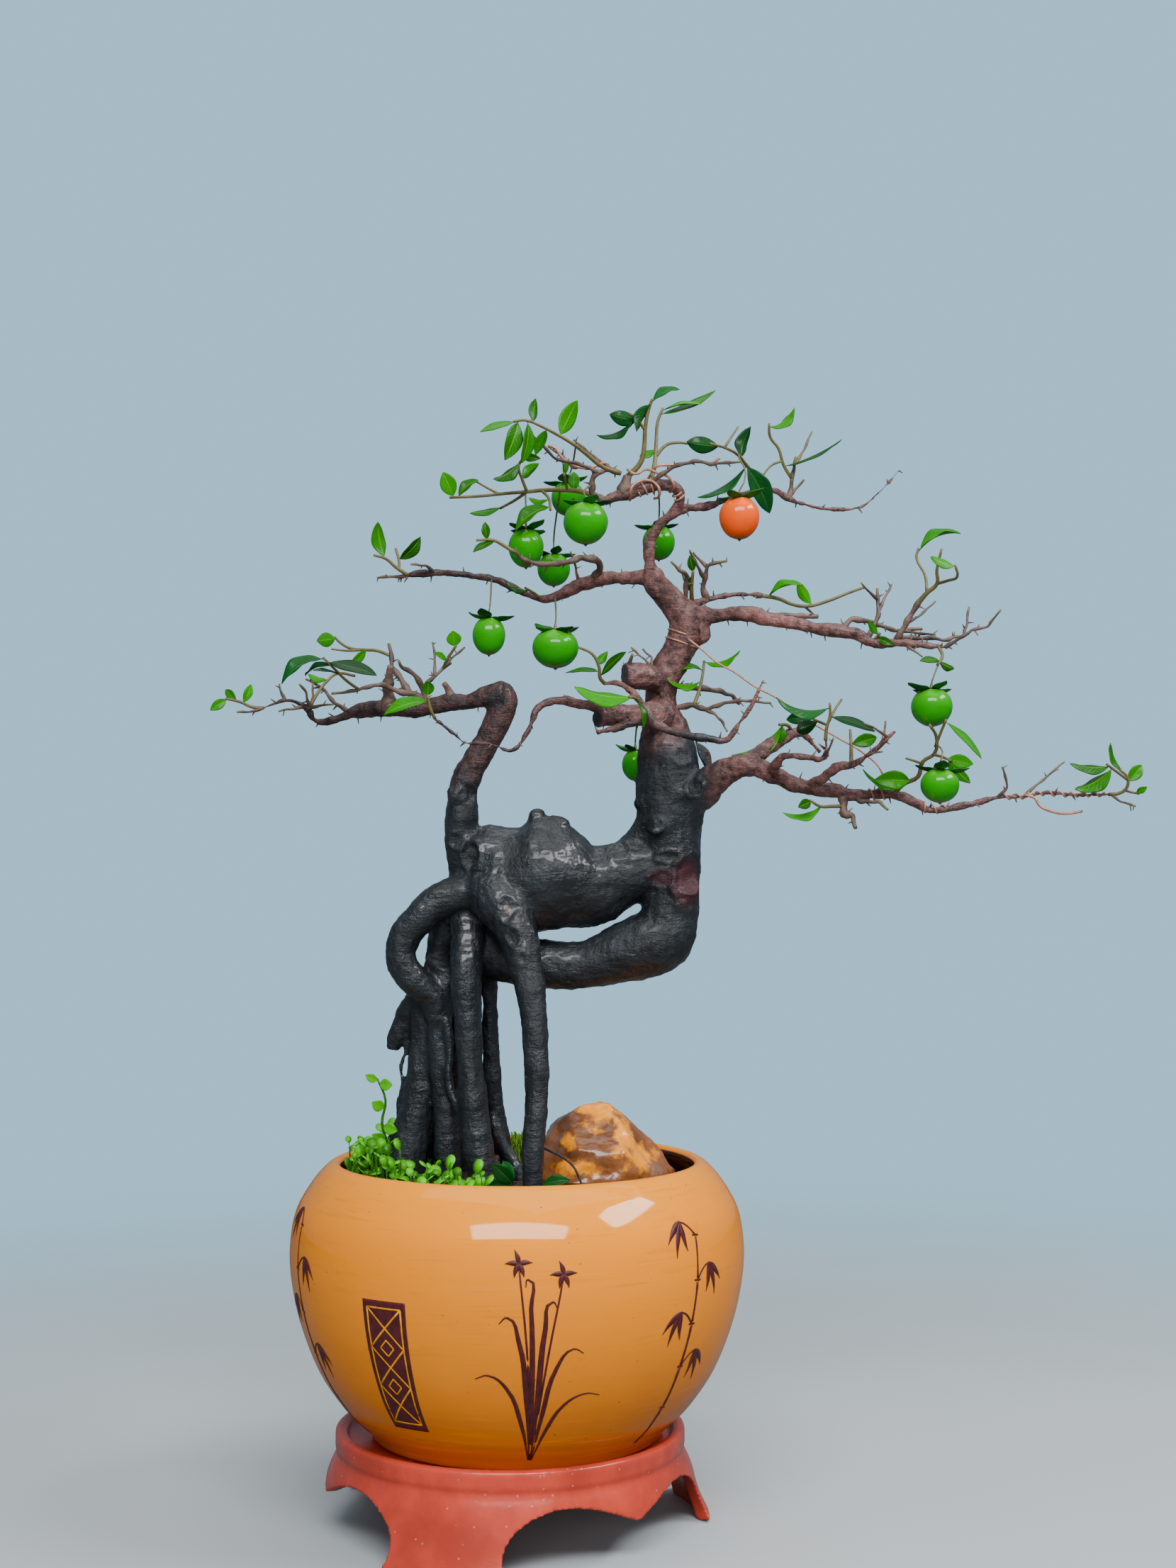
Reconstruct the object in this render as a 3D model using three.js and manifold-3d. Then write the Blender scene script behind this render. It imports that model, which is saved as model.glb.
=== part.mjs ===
// A fruiting dwarf persimmon bonsai in a round glazed bowl on a three-legged glazed stand.
// Millimetres, +Z up, seen from the front along +Y. The stand, bowl, soil and rock are turned or cut
// solids. The tree is grown from routes: each limb, root and twig is a tube whose radius changes along it.

import * as THREE from "three";
import { ConvexGeometry } from "three/addons/geometries/ConvexGeometry.js";
import { mergeVertices } from "three/addons/utils/BufferGeometryUtils.js";
import Module from "manifold-3d";

const wasm = await Module();
wasm.setup();

// Driving dimensions
const GAP = 0.3;
const FINEST_DETAIL = 0.1;
const LARGEST_SCRAP = 1.5;
const LATHE_SEGMENTS = 28;
const BERRY_SEGMENTS = 8;
const EYE = new THREE.Vector3(41.4, -1260, 384);

// Limbs and fruit reach this many times as far forwards and back as their routes say.
const DEPTH_SPREAD = 1.7;

const STAND_CENTRE_X = -4;
const STAND_FOOT_RADIUS = 117;
const STAND_BAND_RADIUS = 102;
const STAND_HEIGHT = 55.2;
const STAND_SEAT_HEIGHT = 50;
const STAND_SEAT_RADIUS = 95;
const STAND_HOLE_RADIUS = 56;
const STAND_WALL = 8;
const STAND_LEG_ANGLES = [-17, 103, 223];
const ARCH_HALF_WIDTH = 78;
const ARCH_HEIGHT = 34;
const ARCH_CUSP_HEIGHT = 22;

const BOWL_FOOT_HEIGHT = STAND_SEAT_HEIGHT + GAP;
const BOWL_FOOT_RADIUS = 84;
const BOWL_RIM_HEIGHT = 209;
const BOWL_MOUTH_RADIUS = 104;
const BOWL_FLOOR_HEIGHT = 62;
const DRAIN_RADIUS = 8;

const SOIL_LEVEL = 197.5;
const SOIL_FALL_TO_RIGHT = 0.035;

const LEAF_WIDTH_TO_LENGTH = 0.42;
const LEAF_THICKNESS = 1.1;
const LEAF_ARCH = 0.07;
const LEAF_FOOT = 0.7;
const LEAF_SECTIONS = [
  [0.34, 0.43],
  [0.7, 0.44],
];
const STALK_RADIUS = 0.8;
const WIRE_RADIUS = 0.7;

const CALYX_LEAST_REACH = 5;
const CALYX_REACH_TO_BERRY = 0.75;
const CALYX_THICKNESS = 3;

const RUNNER_HALF_WIDTH = 1.1;
const RUNNER_THICKNESS = 1.4;
const RUNNER_RISE = 1.2;
const TUFT_SPREAD = 16;
const SMALLEST_ROUND_LEAF = 3.7;
const ROUND_LEAF_RANGE = 1.4;
const ROUND_LEAF_RISE = 0.25;

// Colours as the photograph shows them
const FINISH = {
  stand: [0xcb5a4b, 0.25],
  bowl: [0xe59a10, 0.2],
  soil: [0x4a3524, 0.95],
  rock: [0xa9713f, 0.2],
  wood: [0x3a3f3c, 0.55],
  wire: [0x6b5a52, 0.4],
  leaf: [0x3f9a1c, 0.3],
  darkLeaf: [0x1f5a28, 0.3],
  greenFruit: [0x3fa312, 0.22],
  ripeFruit: [0xff7a10, 0.22],
  calyx: [0x2f6f1c, 0.45],
  groundLeaf: [0x55b51f, 0.45],
};

const tree = new THREE.Group();

function addPiece(name, solid, finish) {
  const mesh = new THREE.Mesh(geometryOf(solid), finishOf(finish));
  mesh.name = name;
  tree.add(mesh);
}

function finishOf(name) {
  const [color, roughness] = FINISH[name];
  return new THREE.MeshStandardMaterial({ color, roughness, metalness: 0 });
}

// Solids

function solidOf(geometry) {
  const bare = new THREE.BufferGeometry();
  bare.setAttribute("position", geometry.getAttribute("position"));
  bare.setIndex(geometry.getIndex());
  const merged = mergeVertices(bare, 1e-4);
  return new wasm.Manifold(
    new wasm.Mesh({
      numProp: 3,
      vertProperties: new Float32Array(merged.getAttribute("position").array),
      triVerts: new Uint32Array(merged.getIndex().array),
    }),
  );
}

function geometryOf(solid) {
  const mesh = solid.getMesh();
  const geometry = new THREE.BufferGeometry();
  geometry.setAttribute("position", new THREE.BufferAttribute(mesh.vertProperties, 3));
  geometry.setIndex(new THREE.BufferAttribute(mesh.triVerts, 1));
  geometry.computeVertexNormals();
  return geometry;
}

function fuse(solids) {
  return wasm.Manifold.union(solids).simplify(FINEST_DETAIL);
}

// Cuts what a piece shares with its neighbour, and keeps the one body that is left.
function cutClear(solid, swollenNeighbour, name) {
  const bodies = solid.subtract(swollenNeighbour).simplify(FINEST_DETAIL).decompose();
  bodies.sort((one, other) => other.volume() - one.volume());
  const loose = bodies.slice(1).filter((body) => body.volume() > LARGEST_SCRAP);
  if (loose.length > 0) {
    const places = loose.map((body) => body.boundingBox().min.map(Math.round).join(" "));
    throw new Error(`${name} comes apart near ${places.join(", ")}`);
  }
  return bodies[0];
}

function turned(profile, segments = LATHE_SEGMENTS) {
  const points = profile.map(([radius, height]) => new THREE.Vector2(radius, height));
  return new THREE.LatheGeometry(points, segments).rotateX(Math.PI / 2);
}

// Routes

// Routes are written as they look from the front, in the plane through the bowl's axis. A point that lies
// nearer or further than that plane moves along its sight line, so the tree keeps its front outline.
function seen(x, z, depth) {
  return new THREE.Vector3(x, 0, z).sub(EYE).multiplyScalar(nearness(depth)).add(EYE);
}

function nearness(depth) {
  return 1 - depth / EYE.y;
}

// What has grown so far, as points along every route, so that a new shoot starts on its parent.
const grown = [];
const POINTS_PER_STRETCH = 8;

function remember(stations) {
  stations.forEach((station, i) => {
    const next = stations[Math.min(i + 1, stations.length - 1)];
    for (let point = 0; point < POINTS_PER_STRETCH; point += 1) {
      const part = point / POINTS_PER_STRETCH;
      grown.push({
        x: station.x + (next.x - station.x) * part,
        z: station.z + (next.z - station.z) * part,
        depth: station.depth + (next.depth - station.depth) * part,
      });
    }
  });
}

function nearestGrown([x, z], points = grown) {
  const away = (point) => (point.x - x) ** 2 + (point.z - z) ** 2;
  return points.reduce((best, point) => (away(point) < away(best) ? point : best));
}

// A closed skin over rings of as many points each, which ends in a flat cap or runs out to a tip.
function skinned(rings, tip) {
  const count = rings[0].length;
  const lastRing = (rings.length - 1) * count;
  const positions = rings.flat();
  const faces = [];
  for (let side = 0; side < count; side += 1) {
    const next = (side + 1) % count;
    for (let ring = 0; ring < lastRing; ring += count) {
      faces.push(ring + side, ring + next, ring + count + next);
      faces.push(ring + side, ring + count + next, ring + count + side);
    }
    if (tip) faces.push(lastRing + side, lastRing + next, positions.length);
    if (side > 0 && side < count - 1) {
      faces.push(0, side + 1, side);
      if (!tip) faces.push(lastRing, lastRing + side, lastRing + side + 1);
    }
  }
  const geometry = new THREE.BufferGeometry().setFromPoints(tip ? [...positions, tip] : positions);
  geometry.setIndex(faces);
  return solidOf(geometry);
}

// A tube whose rings follow the stations and turn with the path.
function tube(stations, sides) {
  const centres = stations.map(({ x, z, depth }) => seen(x, z, depth));
  const last = stations.length - 1;
  const across = new THREE.Vector3(0, 1, 0);
  const up = new THREE.Vector3();
  const rings = centres.map((centre, i) => {
    const along = centres[Math.min(i + 1, last)].clone().sub(centres[Math.max(i - 1, 0)]).normalize();
    if (i === 0 && Math.abs(along.y) > 0.9) across.set(1, 0, 0);
    across.addScaledVector(along, -across.dot(along)).normalize();
    up.crossVectors(along, across);
    const radius = stations[i].radius * nearness(stations[i].depth);
    return Array.from({ length: sides }, (_, side) => {
      const angle = (2 * Math.PI * side) / sides;
      const point = centre.clone().addScaledVector(across, radius * Math.cos(angle));
      return point.addScaledVector(up, radius * Math.sin(angle));
    });
  });
  return skinned(rings);
}

function sidesFor(radius) {
  if (radius < 1.7) return 3;
  if (radius < 3.5) return 4;
  if (radius < 6) return 5;
  if (radius < 12) return 7;
  return 10;
}

// A limb's stations give its x, its z, its radius and its depth.
function limbStations(route, spread = 1) {
  const stations = route.map(([x, z, radius, depth]) => ({ x, z, radius, depth: depth * spread }));
  remember(stations);
  return stations;
}

// A twig starts on its parent and leans towards the front or away from it by its tip.
function twigStations(route, rootRadius, tipRadius, lean) {
  const start = nearestGrown(route[0]);
  const stations = [[start.x, start.z], ...route.slice(1)].map(([x, z], i) => {
    const part = i / (route.length - 1);
    const radius = THREE.MathUtils.lerp(rootRadius, tipRadius, part);
    return { x, z, radius, depth: start.depth + DEPTH_SPREAD * lean * part };
  });
  remember(stations);
  return stations;
}

function grow(stations, swell = 0) {
  const meanRadius = stations.reduce((sum, { radius }) => sum + radius, 0) / stations.length;
  const wider = stations.map((station) => ({ ...station, radius: station.radius + swell }));
  return tube(wider, sidesFor(meanRadius));
}

// A three-cornered ring across a blade: both edges of its flat face, and the midrib under it.
function bladeRing(centre, across, normal, half, thickness = LEAF_THICKNESS) {
  const corners = [
    [-half, thickness / 3],
    [0, (-2 * thickness) / 3],
    [half, thickness / 3],
  ];
  return corners.map(([aside, above]) =>
    centre.clone().addScaledVector(across, aside).addScaledVector(normal, above),
  );
}

// A pointed blade with a keel along its midrib, arched along its length.
function blade(base, tip, width, facing) {
  const along = tip.clone().sub(base);
  const length = along.length();
  const normal = facing.clone().addScaledVector(along, -facing.dot(along) / length ** 2).normalize();
  const across = normal.clone().cross(along).normalize();
  const rings = LEAF_SECTIONS.map(([part, half]) => {
    const centre = base.clone().addScaledVector(along, part);
    centre.addScaledVector(normal, LEAF_ARCH * length * 4 * part * (1 - part));
    return bladeRing(centre, across, normal, half * width);
  });
  rings.unshift(bladeRing(base, across, normal, LEAF_FOOT / 2, LEAF_FOOT));
  return skinned(rings, tip);
}

// A leaf is as wide as its length asks. Where it looks narrower from the front, it is rolled upwards.
function leaf(place, [tipX, tipZ], shownWidth, lean, shootPoints = grown) {
  const { x, z, depth } = nearestGrown(place, shootPoints);
  const base = seen(x, z, depth);
  const tip = seen(tipX, tipZ, depth + lean);
  const width = Math.max(shownWidth, LEAF_WIDTH_TO_LENGTH * base.distanceTo(tip));
  const roll = Math.acos(shownWidth / width);
  const facing = new THREE.Vector3(0, -Math.cos(roll), Math.sin(roll));
  if (Math.abs(tip.z - base.z) > Math.abs(tip.x - base.x)) {
    facing.set(Math.sin(roll), -Math.cos(roll), 0);
  }
  return blade(base, tip, width, facing);
}

// Stand

function makeStand() {
  const inner = STAND_FOOT_RADIUS - STAND_WALL;
  const ring = solidOf(
    turned([
      [inner, 0],
      [STAND_FOOT_RADIUS, 0],
      [111.5, 13],
      [107, 30],
      [100.8, 42],
      [STAND_BAND_RADIUS, 44.6],
      [STAND_BAND_RADIUS, 53.8],
      [STAND_BAND_RADIUS - 1.6, STAND_HEIGHT],
      [STAND_SEAT_RADIUS, STAND_HEIGHT],
      [STAND_SEAT_RADIUS - 1, STAND_SEAT_HEIGHT],
      [STAND_HOLE_RADIUS, STAND_SEAT_HEIGHT],
      [STAND_HOLE_RADIUS, STAND_SEAT_HEIGHT - STAND_WALL],
      [92, STAND_SEAT_HEIGHT - STAND_WALL],
      [101, 24],
      [inner, 0],
    ]),
  );
  const stand = STAND_LEG_ANGLES.reduce((left, angle) => left.subtract(archBetweenLegs(angle + 60)), ring);
  return stand.simplify(FINEST_DETAIL).translate(STAND_CENTRE_X, 0, 0);
}

// The opening between two legs: two lobes with a point hanging between them.
function archBetweenLegs(angle) {
  const outline = new THREE.Shape();
  outline.moveTo(-ARCH_HALF_WIDTH, -1);
  outline.lineTo(-ARCH_HALF_WIDTH, 5);
  outline.bezierCurveTo(-74, 24, -60, ARCH_HEIGHT, -42, ARCH_HEIGHT);
  outline.bezierCurveTo(-26, ARCH_HEIGHT, -12, 26, 0, ARCH_CUSP_HEIGHT);
  outline.bezierCurveTo(12, 26, 26, ARCH_HEIGHT, 42, ARCH_HEIGHT);
  outline.bezierCurveTo(60, ARCH_HEIGHT, 74, 24, ARCH_HALF_WIDTH, 5);
  outline.lineTo(ARCH_HALF_WIDTH, -1);
  const cutter = new THREE.ExtrudeGeometry(outline, {
    depth: 100,
    bevelEnabled: false,
    curveSegments: 3,
  });
  cutter.rotateX(Math.PI / 2);
  cutter.translate(0, -40, 0);
  cutter.rotateZ(THREE.MathUtils.degToRad(angle));
  return solidOf(cutter);
}

// Bowl, soil and rock

const BOWL_INSIDE = [
  [82, BOWL_FLOOR_HEIGHT],
  [107, 92],
  [123, 166],
  [108.5, 200],
];

function makeBowl() {
  return solidOf(
    turned([
      [DRAIN_RADIUS, BOWL_FOOT_HEIGHT],
      [BOWL_FOOT_RADIUS, BOWL_FOOT_HEIGHT],
      [87, 55],
      [102.7, 70.5],
      [116.5, 91],
      [127.4, 119],
      [132.4, 143],
      [133.2, 161],
      [129.8, 181],
      [120.3, 197.5],
      [BOWL_MOUTH_RADIUS + 4.5, BOWL_RIM_HEIGHT],
      [BOWL_MOUTH_RADIUS, BOWL_RIM_HEIGHT - 1],
      ...BOWL_INSIDE.toReversed(),
      [DRAIN_RADIUS, BOWL_FLOOR_HEIGHT],
      [DRAIN_RADIUS, BOWL_FOOT_HEIGHT],
    ]),
  );
}

function soilLevelAt(x) {
  return SOIL_LEVEL - SOIL_FALL_TO_RIGHT * x;
}

// The bowl's inner radius between its widest place and its mouth.
function shoulderRadiusAt(level) {
  const [[widest, widestLevel], [mouth, mouthLevel]] = BOWL_INSIDE.slice(-2);
  return THREE.MathUtils.mapLinear(level, widestLevel, mouthLevel, widest, mouth);
}

// The soil fills the bowl, higher at the left, with plain holes where the roots and the rock stand in it.
function makeSoil(swollenWood, swollenRock) {
  const wall = BOWL_INSIDE.slice(0, -1).map(([radius, height]) => [radius - GAP, height + GAP]);
  const profile = [[0, BOWL_FLOOR_HEIGHT + GAP], ...wall, [100, SOIL_LEVEL], [0, SOIL_LEVEL]];
  const geometry = turned(profile);
  const position = geometry.getAttribute("position");
  for (let i = 0; i < position.count; i += 1) {
    if (position.getZ(i) > SOIL_LEVEL - 1) {
      const isEdge = Math.hypot(position.getX(i), position.getY(i)) > 1;
      const level = soilLevelAt(position.getX(i));
      const spread = isEdge ? (shoulderRadiusAt(level) - 2 * GAP) / 100 : 0;
      position.setXYZ(i, position.getX(i) * spread, position.getY(i) * spread, level);
    }
  }
  return cutClear(solidOf(geometry), swollenWood.add(swollenRock), "soil");
}

const ROCK_CORNERS = [
  [17, 225, 14],
  [13, 212, -6],
  [12, 196, -12],
  [16, 193, 30],
  [20, 229, 22],
  [22, 232, 6],
  [30, 236, 0],
  [38, 241, 6],
  [46, 242.5, 12],
  [55, 241, 8],
  [62, 236, 14],
  [70, 229, 12],
  [77, 220, 16],
  [85, 212, 12],
  [93, 203, 14],
  [94, 193, 16],
  [86, 193, -10],
  [60, 193, -26],
  [30, 193, -26],
  [36, 214, -22],
  [62, 212, -22],
  [78, 206, -12],
  [40, 236, 26],
  [60, 226, 34],
  [80, 193, 36],
  [40, 193, 44],
];

function makeRock(swell = 0) {
  const corners = ROCK_CORNERS.map(([x, z, depth]) => seen(x, z, depth));
  const middle = seen(52, 212, 6);
  corners.forEach((corner) => corner.addScaledVector(corner.clone().sub(middle).normalize(), swell));
  return solidOf(new ConvexGeometry(corners));
}

// Trunk and roots, as x, z, radius and depth

const TRUNK = [
  // the long bulge between the left shoulder and the upright trunk
  [[-40, 389, 9, -2], [-25, 387, 19, -2], [-2, 377, 30, 0], [15, 375.5, 34, 0], [30, 372.5, 29.5, 0],
   [42, 370, 25, 0], [56, 374, 21, 0], [72, 380, 18, 0], [88, 385, 16, 0]],
  // the lower limb that loops under it and turns up into the trunk
  [[-36, 344, 11, 4], [-20, 335, 16, 4], [0, 326, 15, 3], [20, 323, 14.3, 2], [42, 323.5, 14.3, 1],
   [60, 329, 17, 0], [74, 333.5, 19.5, 0], [84, 339.5, 20, 0], [88.5, 350, 17.5, 0], [90, 364, 17, 0],
   [90, 380, 18, 0], [90, 400, 19, 0], [90, 418, 20, 0], [89, 436, 19, 0], [88, 452, 17.5, 1],
   [87, 468, 12.5, 2]],
  // the left shoulder and the upright left limb
  [[-37, 346, 8, 0], [-30, 362, 12, -2], [-30, 380, 11.5, -3], [-33.5, 396, 10.2, -5], [-33, 412, 9.8, -5],
   [-32.5, 424, 8.7, -5], [-29, 436, 8.8, -5], [-22.5, 448, 7.6, -5], [-15.5, 460, 8, -5],
   [-11, 471, 8.2, -5], [-9, 481, 8.8, -5], [-10, 489, 5, -5]],
  // the hollow between the bulge and the upright trunk
  [[86, 412, 12, 0], [73, 396, 10, 0], [58, 384, 9, 0]],
];

const ROOTS = [
  // the front root that arches out over the rest
  [[-30, 368, 13, -6], [-13, 362, 16.5, -17], [-2, 345, 13, -27], [4.5, 323, 10.3, -34],
   [8.5, 300, 8.7, -40], [10.5, 272, 7.6, -45], [11, 248, 7.3, -48], [9.5, 220, 7, -52],
   [8, 186, 6.2, -55]],
  // the left root that loops outwards and back
  [[-26, 366, 13, -9], [-42, 362.5, 11, -13], [-57, 351.5, 10, -14], [-67, 339, 9.5, -14],
   [-69, 326, 9, -14], [-62, 314.5, 9, -13], [-52, 305, 8.3, -11], [-46, 290, 7, -8]],
  [[-30, 350, 10, -8], [-30.5, 325, 9.6, -17], [-29.5, 290, 8.6, -21], [-27.5, 255, 8.2, -24],
   [-23.5, 218, 9, -28], [-19, 186, 9, -31]],
  [[-20, 332, 6, 8], [-17, 308, 5, 11], [-16, 270, 5.2, 12], [-13, 236, 5.5, 13], [-8, 215, 4.8, 14],
   [-1, 188, 3.5, 16]],
  [[-15, 236, 4.2, 12], [-10, 219, 4, 6], [-2, 206, 3.8, 0], [4, 188, 3, -4]],
  [[-46, 326, 8, 0], [-54, 296, 9, 2], [-55, 270, 9.5, 2], [-58, 245, 10, 1], [-63, 222, 11, 0],
   [-67, 186, 11, -3]],
  [[-42, 322, 8, -6], [-46, 290, 7, -6], [-45.5, 258, 6.6, -8], [-42, 235, 7.2, -9], [-41, 212, 8, -10],
   [-41, 186, 7, -10]],
  [[-43, 292, 2.6, -13], [-40, 275, 2.6, -14], [-41, 256, 2.6, -16], [-37, 242, 2.6, -19],
   [-30, 228, 2.6, -23]],
  [[-42, 352, 9, 4], [-48, 325, 7, 8], [-50, 300, 6.2, 11], [-46, 252, 6, 15], [-39, 222, 7, 20],
   [-35, 186, 6, 24]],
  [[-28, 348, 12, 10], [-33, 312, 9, 18], [-38, 275, 8, 24], [-45, 238, 8, 29], [-53, 186, 7.5, 35]],
  // a cut stub that hangs on the left, and a thin wiry root
  [[-55, 310, 6, 2], [-63, 299, 6.2, 6], [-68.5, 288, 6.2, 8], [-72, 279, 5.6, 9], [-74, 272.5, 3.6, 9]],
  [[-65, 286, 2, 7], [-66, 272, 1.5, 7], [-69, 262, 1.4, 6], [-68, 254, 1.4, 6], [-71, 240, 1.3, 5],
   [-70, 224, 1.2, 4], [-71, 192, 1.2, 3]],
];

const LIMBS = [
  // the trunk's upper limb and its top
  [[87, 462, 13.5, 2], [84.5, 476, 9.3, 4], [85, 488, 9, 5], [90, 500, 9.8, 6], [96.5, 512, 9.6, 6],
   [100.5, 521, 10.6, 6], [99.5, 528.5, 10, 6], [94, 535, 8.5, 6], [88, 542, 7.6, 5], [82, 549, 7.4, 4],
   [79, 556, 6, 3]],
  [[79, 554, 5, 3], [78, 562, 3.9, 1], [77.5, 571, 3.7, 0], [81, 580, 3.4, -1], [87, 587, 3.3, -2],
   [93, 593, 3.4, -3], [96.5, 600, 3.2, -5], [93, 606.5, 3.4, -7], [86, 608, 4, -8], [76, 606.5, 4, -9],
   [67, 603.5, 3.7, -10], [59, 601.5, 3.2, -11], [51, 598, 2.5, -12]],
  // the upper left branch
  [[80, 553, 5.5, 4], [70, 552.5, 4.4, 7], [60, 552.5, 3.9, 9], [51, 552, 4.1, 11], [41, 550, 4.3, 13],
   [32, 546.5, 4, 14], [24, 542, 3.2, 15], [15, 540, 2.3, 15], [8, 541.5, 2, 16], [-2, 546, 2.2, 16],
   [-14, 551.5, 2.1, 17], [-30, 554, 2.2, 18], [-45, 555.5, 2.2, 19], [-58, 555, 2.1, 20],
   [-68, 553.5, 1.6, 20]],
  // the left low branch
  [[-8, 483, 8, -5], [-19, 481.5, 6.2, -4], [-30, 479, 4.8, -3], [-40, 478.5, 5.3, -2], [-50, 476.3, 5, -1],
   [-60, 474.5, 5.3, 0], [-77, 475, 5.4, 1], [-86, 474.3, 5, 2], [-95, 473, 4.4, 2], [-101, 471, 3, 2],
   [-109, 468.3, 2.3, 2], [-117, 466.5, 2.2, 2], [-121.5, 468, 2, 1], [-124, 473, 1.8, 0],
   [-129, 477, 1.5, 0], [-138, 479.5, 1.3, -1], [-146, 477, 1.1, -2], [-153, 474.2, 0.9, -3]],
  // the right upper branch
  [[99, 527, 9, 5], [109, 529.3, 6.6, 3], [116, 530, 4.9, 2], [126, 531, 4.5, 0], [137, 531, 4.9, -2],
   [149, 527.5, 4.1, -5], [160, 526, 3.7, -7], [170, 524, 3.8, -9], [180, 522, 4, -10],
   [190, 521, 4.2, -12], [200, 519, 3.8, -13], [208, 514.8, 3.2, -14], [216, 513.2, 3, -15],
   [226, 513.5, 2.6, -17], [236, 513, 2.4, -19], [246, 512, 1.9, -21], [256, 510.5, 1.4, -23]],
  // the lower right branch
  [[94, 420, 13, -2], [108, 425.5, 11.5, -5], [117, 433, 9.3, -8], [125, 438, 7.9, -10],
   [133, 440.6, 6.6, -12], [141, 440, 5.9, -13], [148, 437, 5.5, -14], [156, 433, 5.4, -15],
   [164, 429.6, 5, -16], [172, 427.6, 4.5, -16], [188, 425.6, 4.4, -15], [198, 423, 3.9, -14],
   [208, 423.5, 3.1, -13], [218, 424, 3, -12], [228, 421.8, 3, -11], [236, 418, 2.9, -10],
   [244, 414.6, 2.4, -9], [253, 415, 2, -8], [263, 416.7, 1.8, -7], [273, 419, 1.5, -5],
   [284, 422, 1.3, -3], [300, 422.5, 1.3, 0], [312, 424.5, 1.2, 2], [326, 423.4, 1.1, 4],
   [340, 423.5, 1, 6], [353, 423.5, 0.9, 8]],
  // cut stubs and the long thin branch that leaves the front one
  [[86, 471, 10, -4], [74, 471, 6.5, -12], [60, 471, 6, -19], [47, 469, 5.6, -25]],
  [[52, 472, 3.4, -24], [43, 475.8, 3, -26], [35, 477.5, 2.9, -27], [26, 479.2, 2.8, -28],
   [18, 478.3, 2.6, -29], [11, 474, 2.4, -30], [8.5, 468, 2, -31], [4, 458.5, 1.6, -32],
   [-2, 450.6, 1.5, -33], [-6, 449.5, 1.4, -33], [-13, 452.6, 1.3, -34], [-24, 454, 1.3, -35],
   [-33, 455, 1.2, -36], [-37, 458.5, 1.1, -36], [-45, 465, 1, -37], [-50, 469, 0.9, -37]],
  [[84, 468, 4, -10], [72, 467, 2.3, -18], [60, 463.5, 2.1, -24], [47, 460.5, 1.9, -30]],
  [[84, 490, 7, 0], [74, 493.5, 8, -4], [63, 494, 7.6, -6]],
];

const FORKS = [
  // second right branch, above the long one
  [[99, 532, 5, 8], [104, 536, 3.4, 12], [111, 539, 2, 16], [121, 541.6, 1.8, 21], [134, 542.8, 1.4, 26],
   [145, 542, 1.3, 30]],
  // right end of the crown
  [[91, 592, 3.4, -3], [100, 594, 2.8, 0], [110, 595, 2.5, 3], [120, 597.5, 2.3, 6], [133, 602, 2, 10],
   [146, 605, 2, 14], [153, 604.3, 2.2, 17], [160, 600.5, 2.2, 19], [165, 598.5, 1.5, 21],
   [176, 595, 1.1, 25], [190, 593.5, 1, 29], [204, 595, 1, 32], [213, 602, 1.1, 34],
   [222, 611, 1.1, 36], [227, 617, 0.8, 37]],
  // upper fork of the lower right branch
  [[133, 441, 5, -12], [141, 446, 4.7, -8], [148, 451.5, 4.5, -4], [156, 456, 4.2, 0],
   [163, 460, 3.1, 4], [168, 460.5, 2.4, 7], [173, 455.5, 1.6, 10], [179, 448.5, 1.3, 12]],
  [[150, 436, 3.6, -15], [153, 442, 3, -22], [157, 446, 2.2, -26], [169, 446, 1.8, -30],
   [181, 445.5, 1.7, -33], [182.5, 457, 1.3, -34]],
  [[171, 429, 3.4, -16], [177, 431.5, 3.2, -19], [184, 436, 3, -22], [190, 440, 2.8, -25],
   [200, 442, 2.2, -29], [207, 447, 1.7, -32], [213, 451, 1.5, -34], [219, 457, 1.4, -36],
   [224, 461, 1.1, -37]],
  // front branch that drops from the upper stub and runs to the right
  [[50, 489.5, 1.6, -24], [60, 489.5, 1.8, -25], [68, 484, 2.1, -26], [74, 476, 2.4, -27],
   [80, 467.5, 2.6, -28], [90, 461.3, 2.4, -29], [100, 458.5, 2.2, -30], [112, 457, 2, -31],
   [123.5, 456, 1.9, -32], [130, 464, 1.4, -33], [137, 474, 1.2, -34], [142, 484, 0.9, -35],
   [146, 492, 0.7, -36]],
  [[78, 474, 3.4, -10], [78, 470, 3, -20], [82, 466, 2.6, -28]],
];

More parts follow.
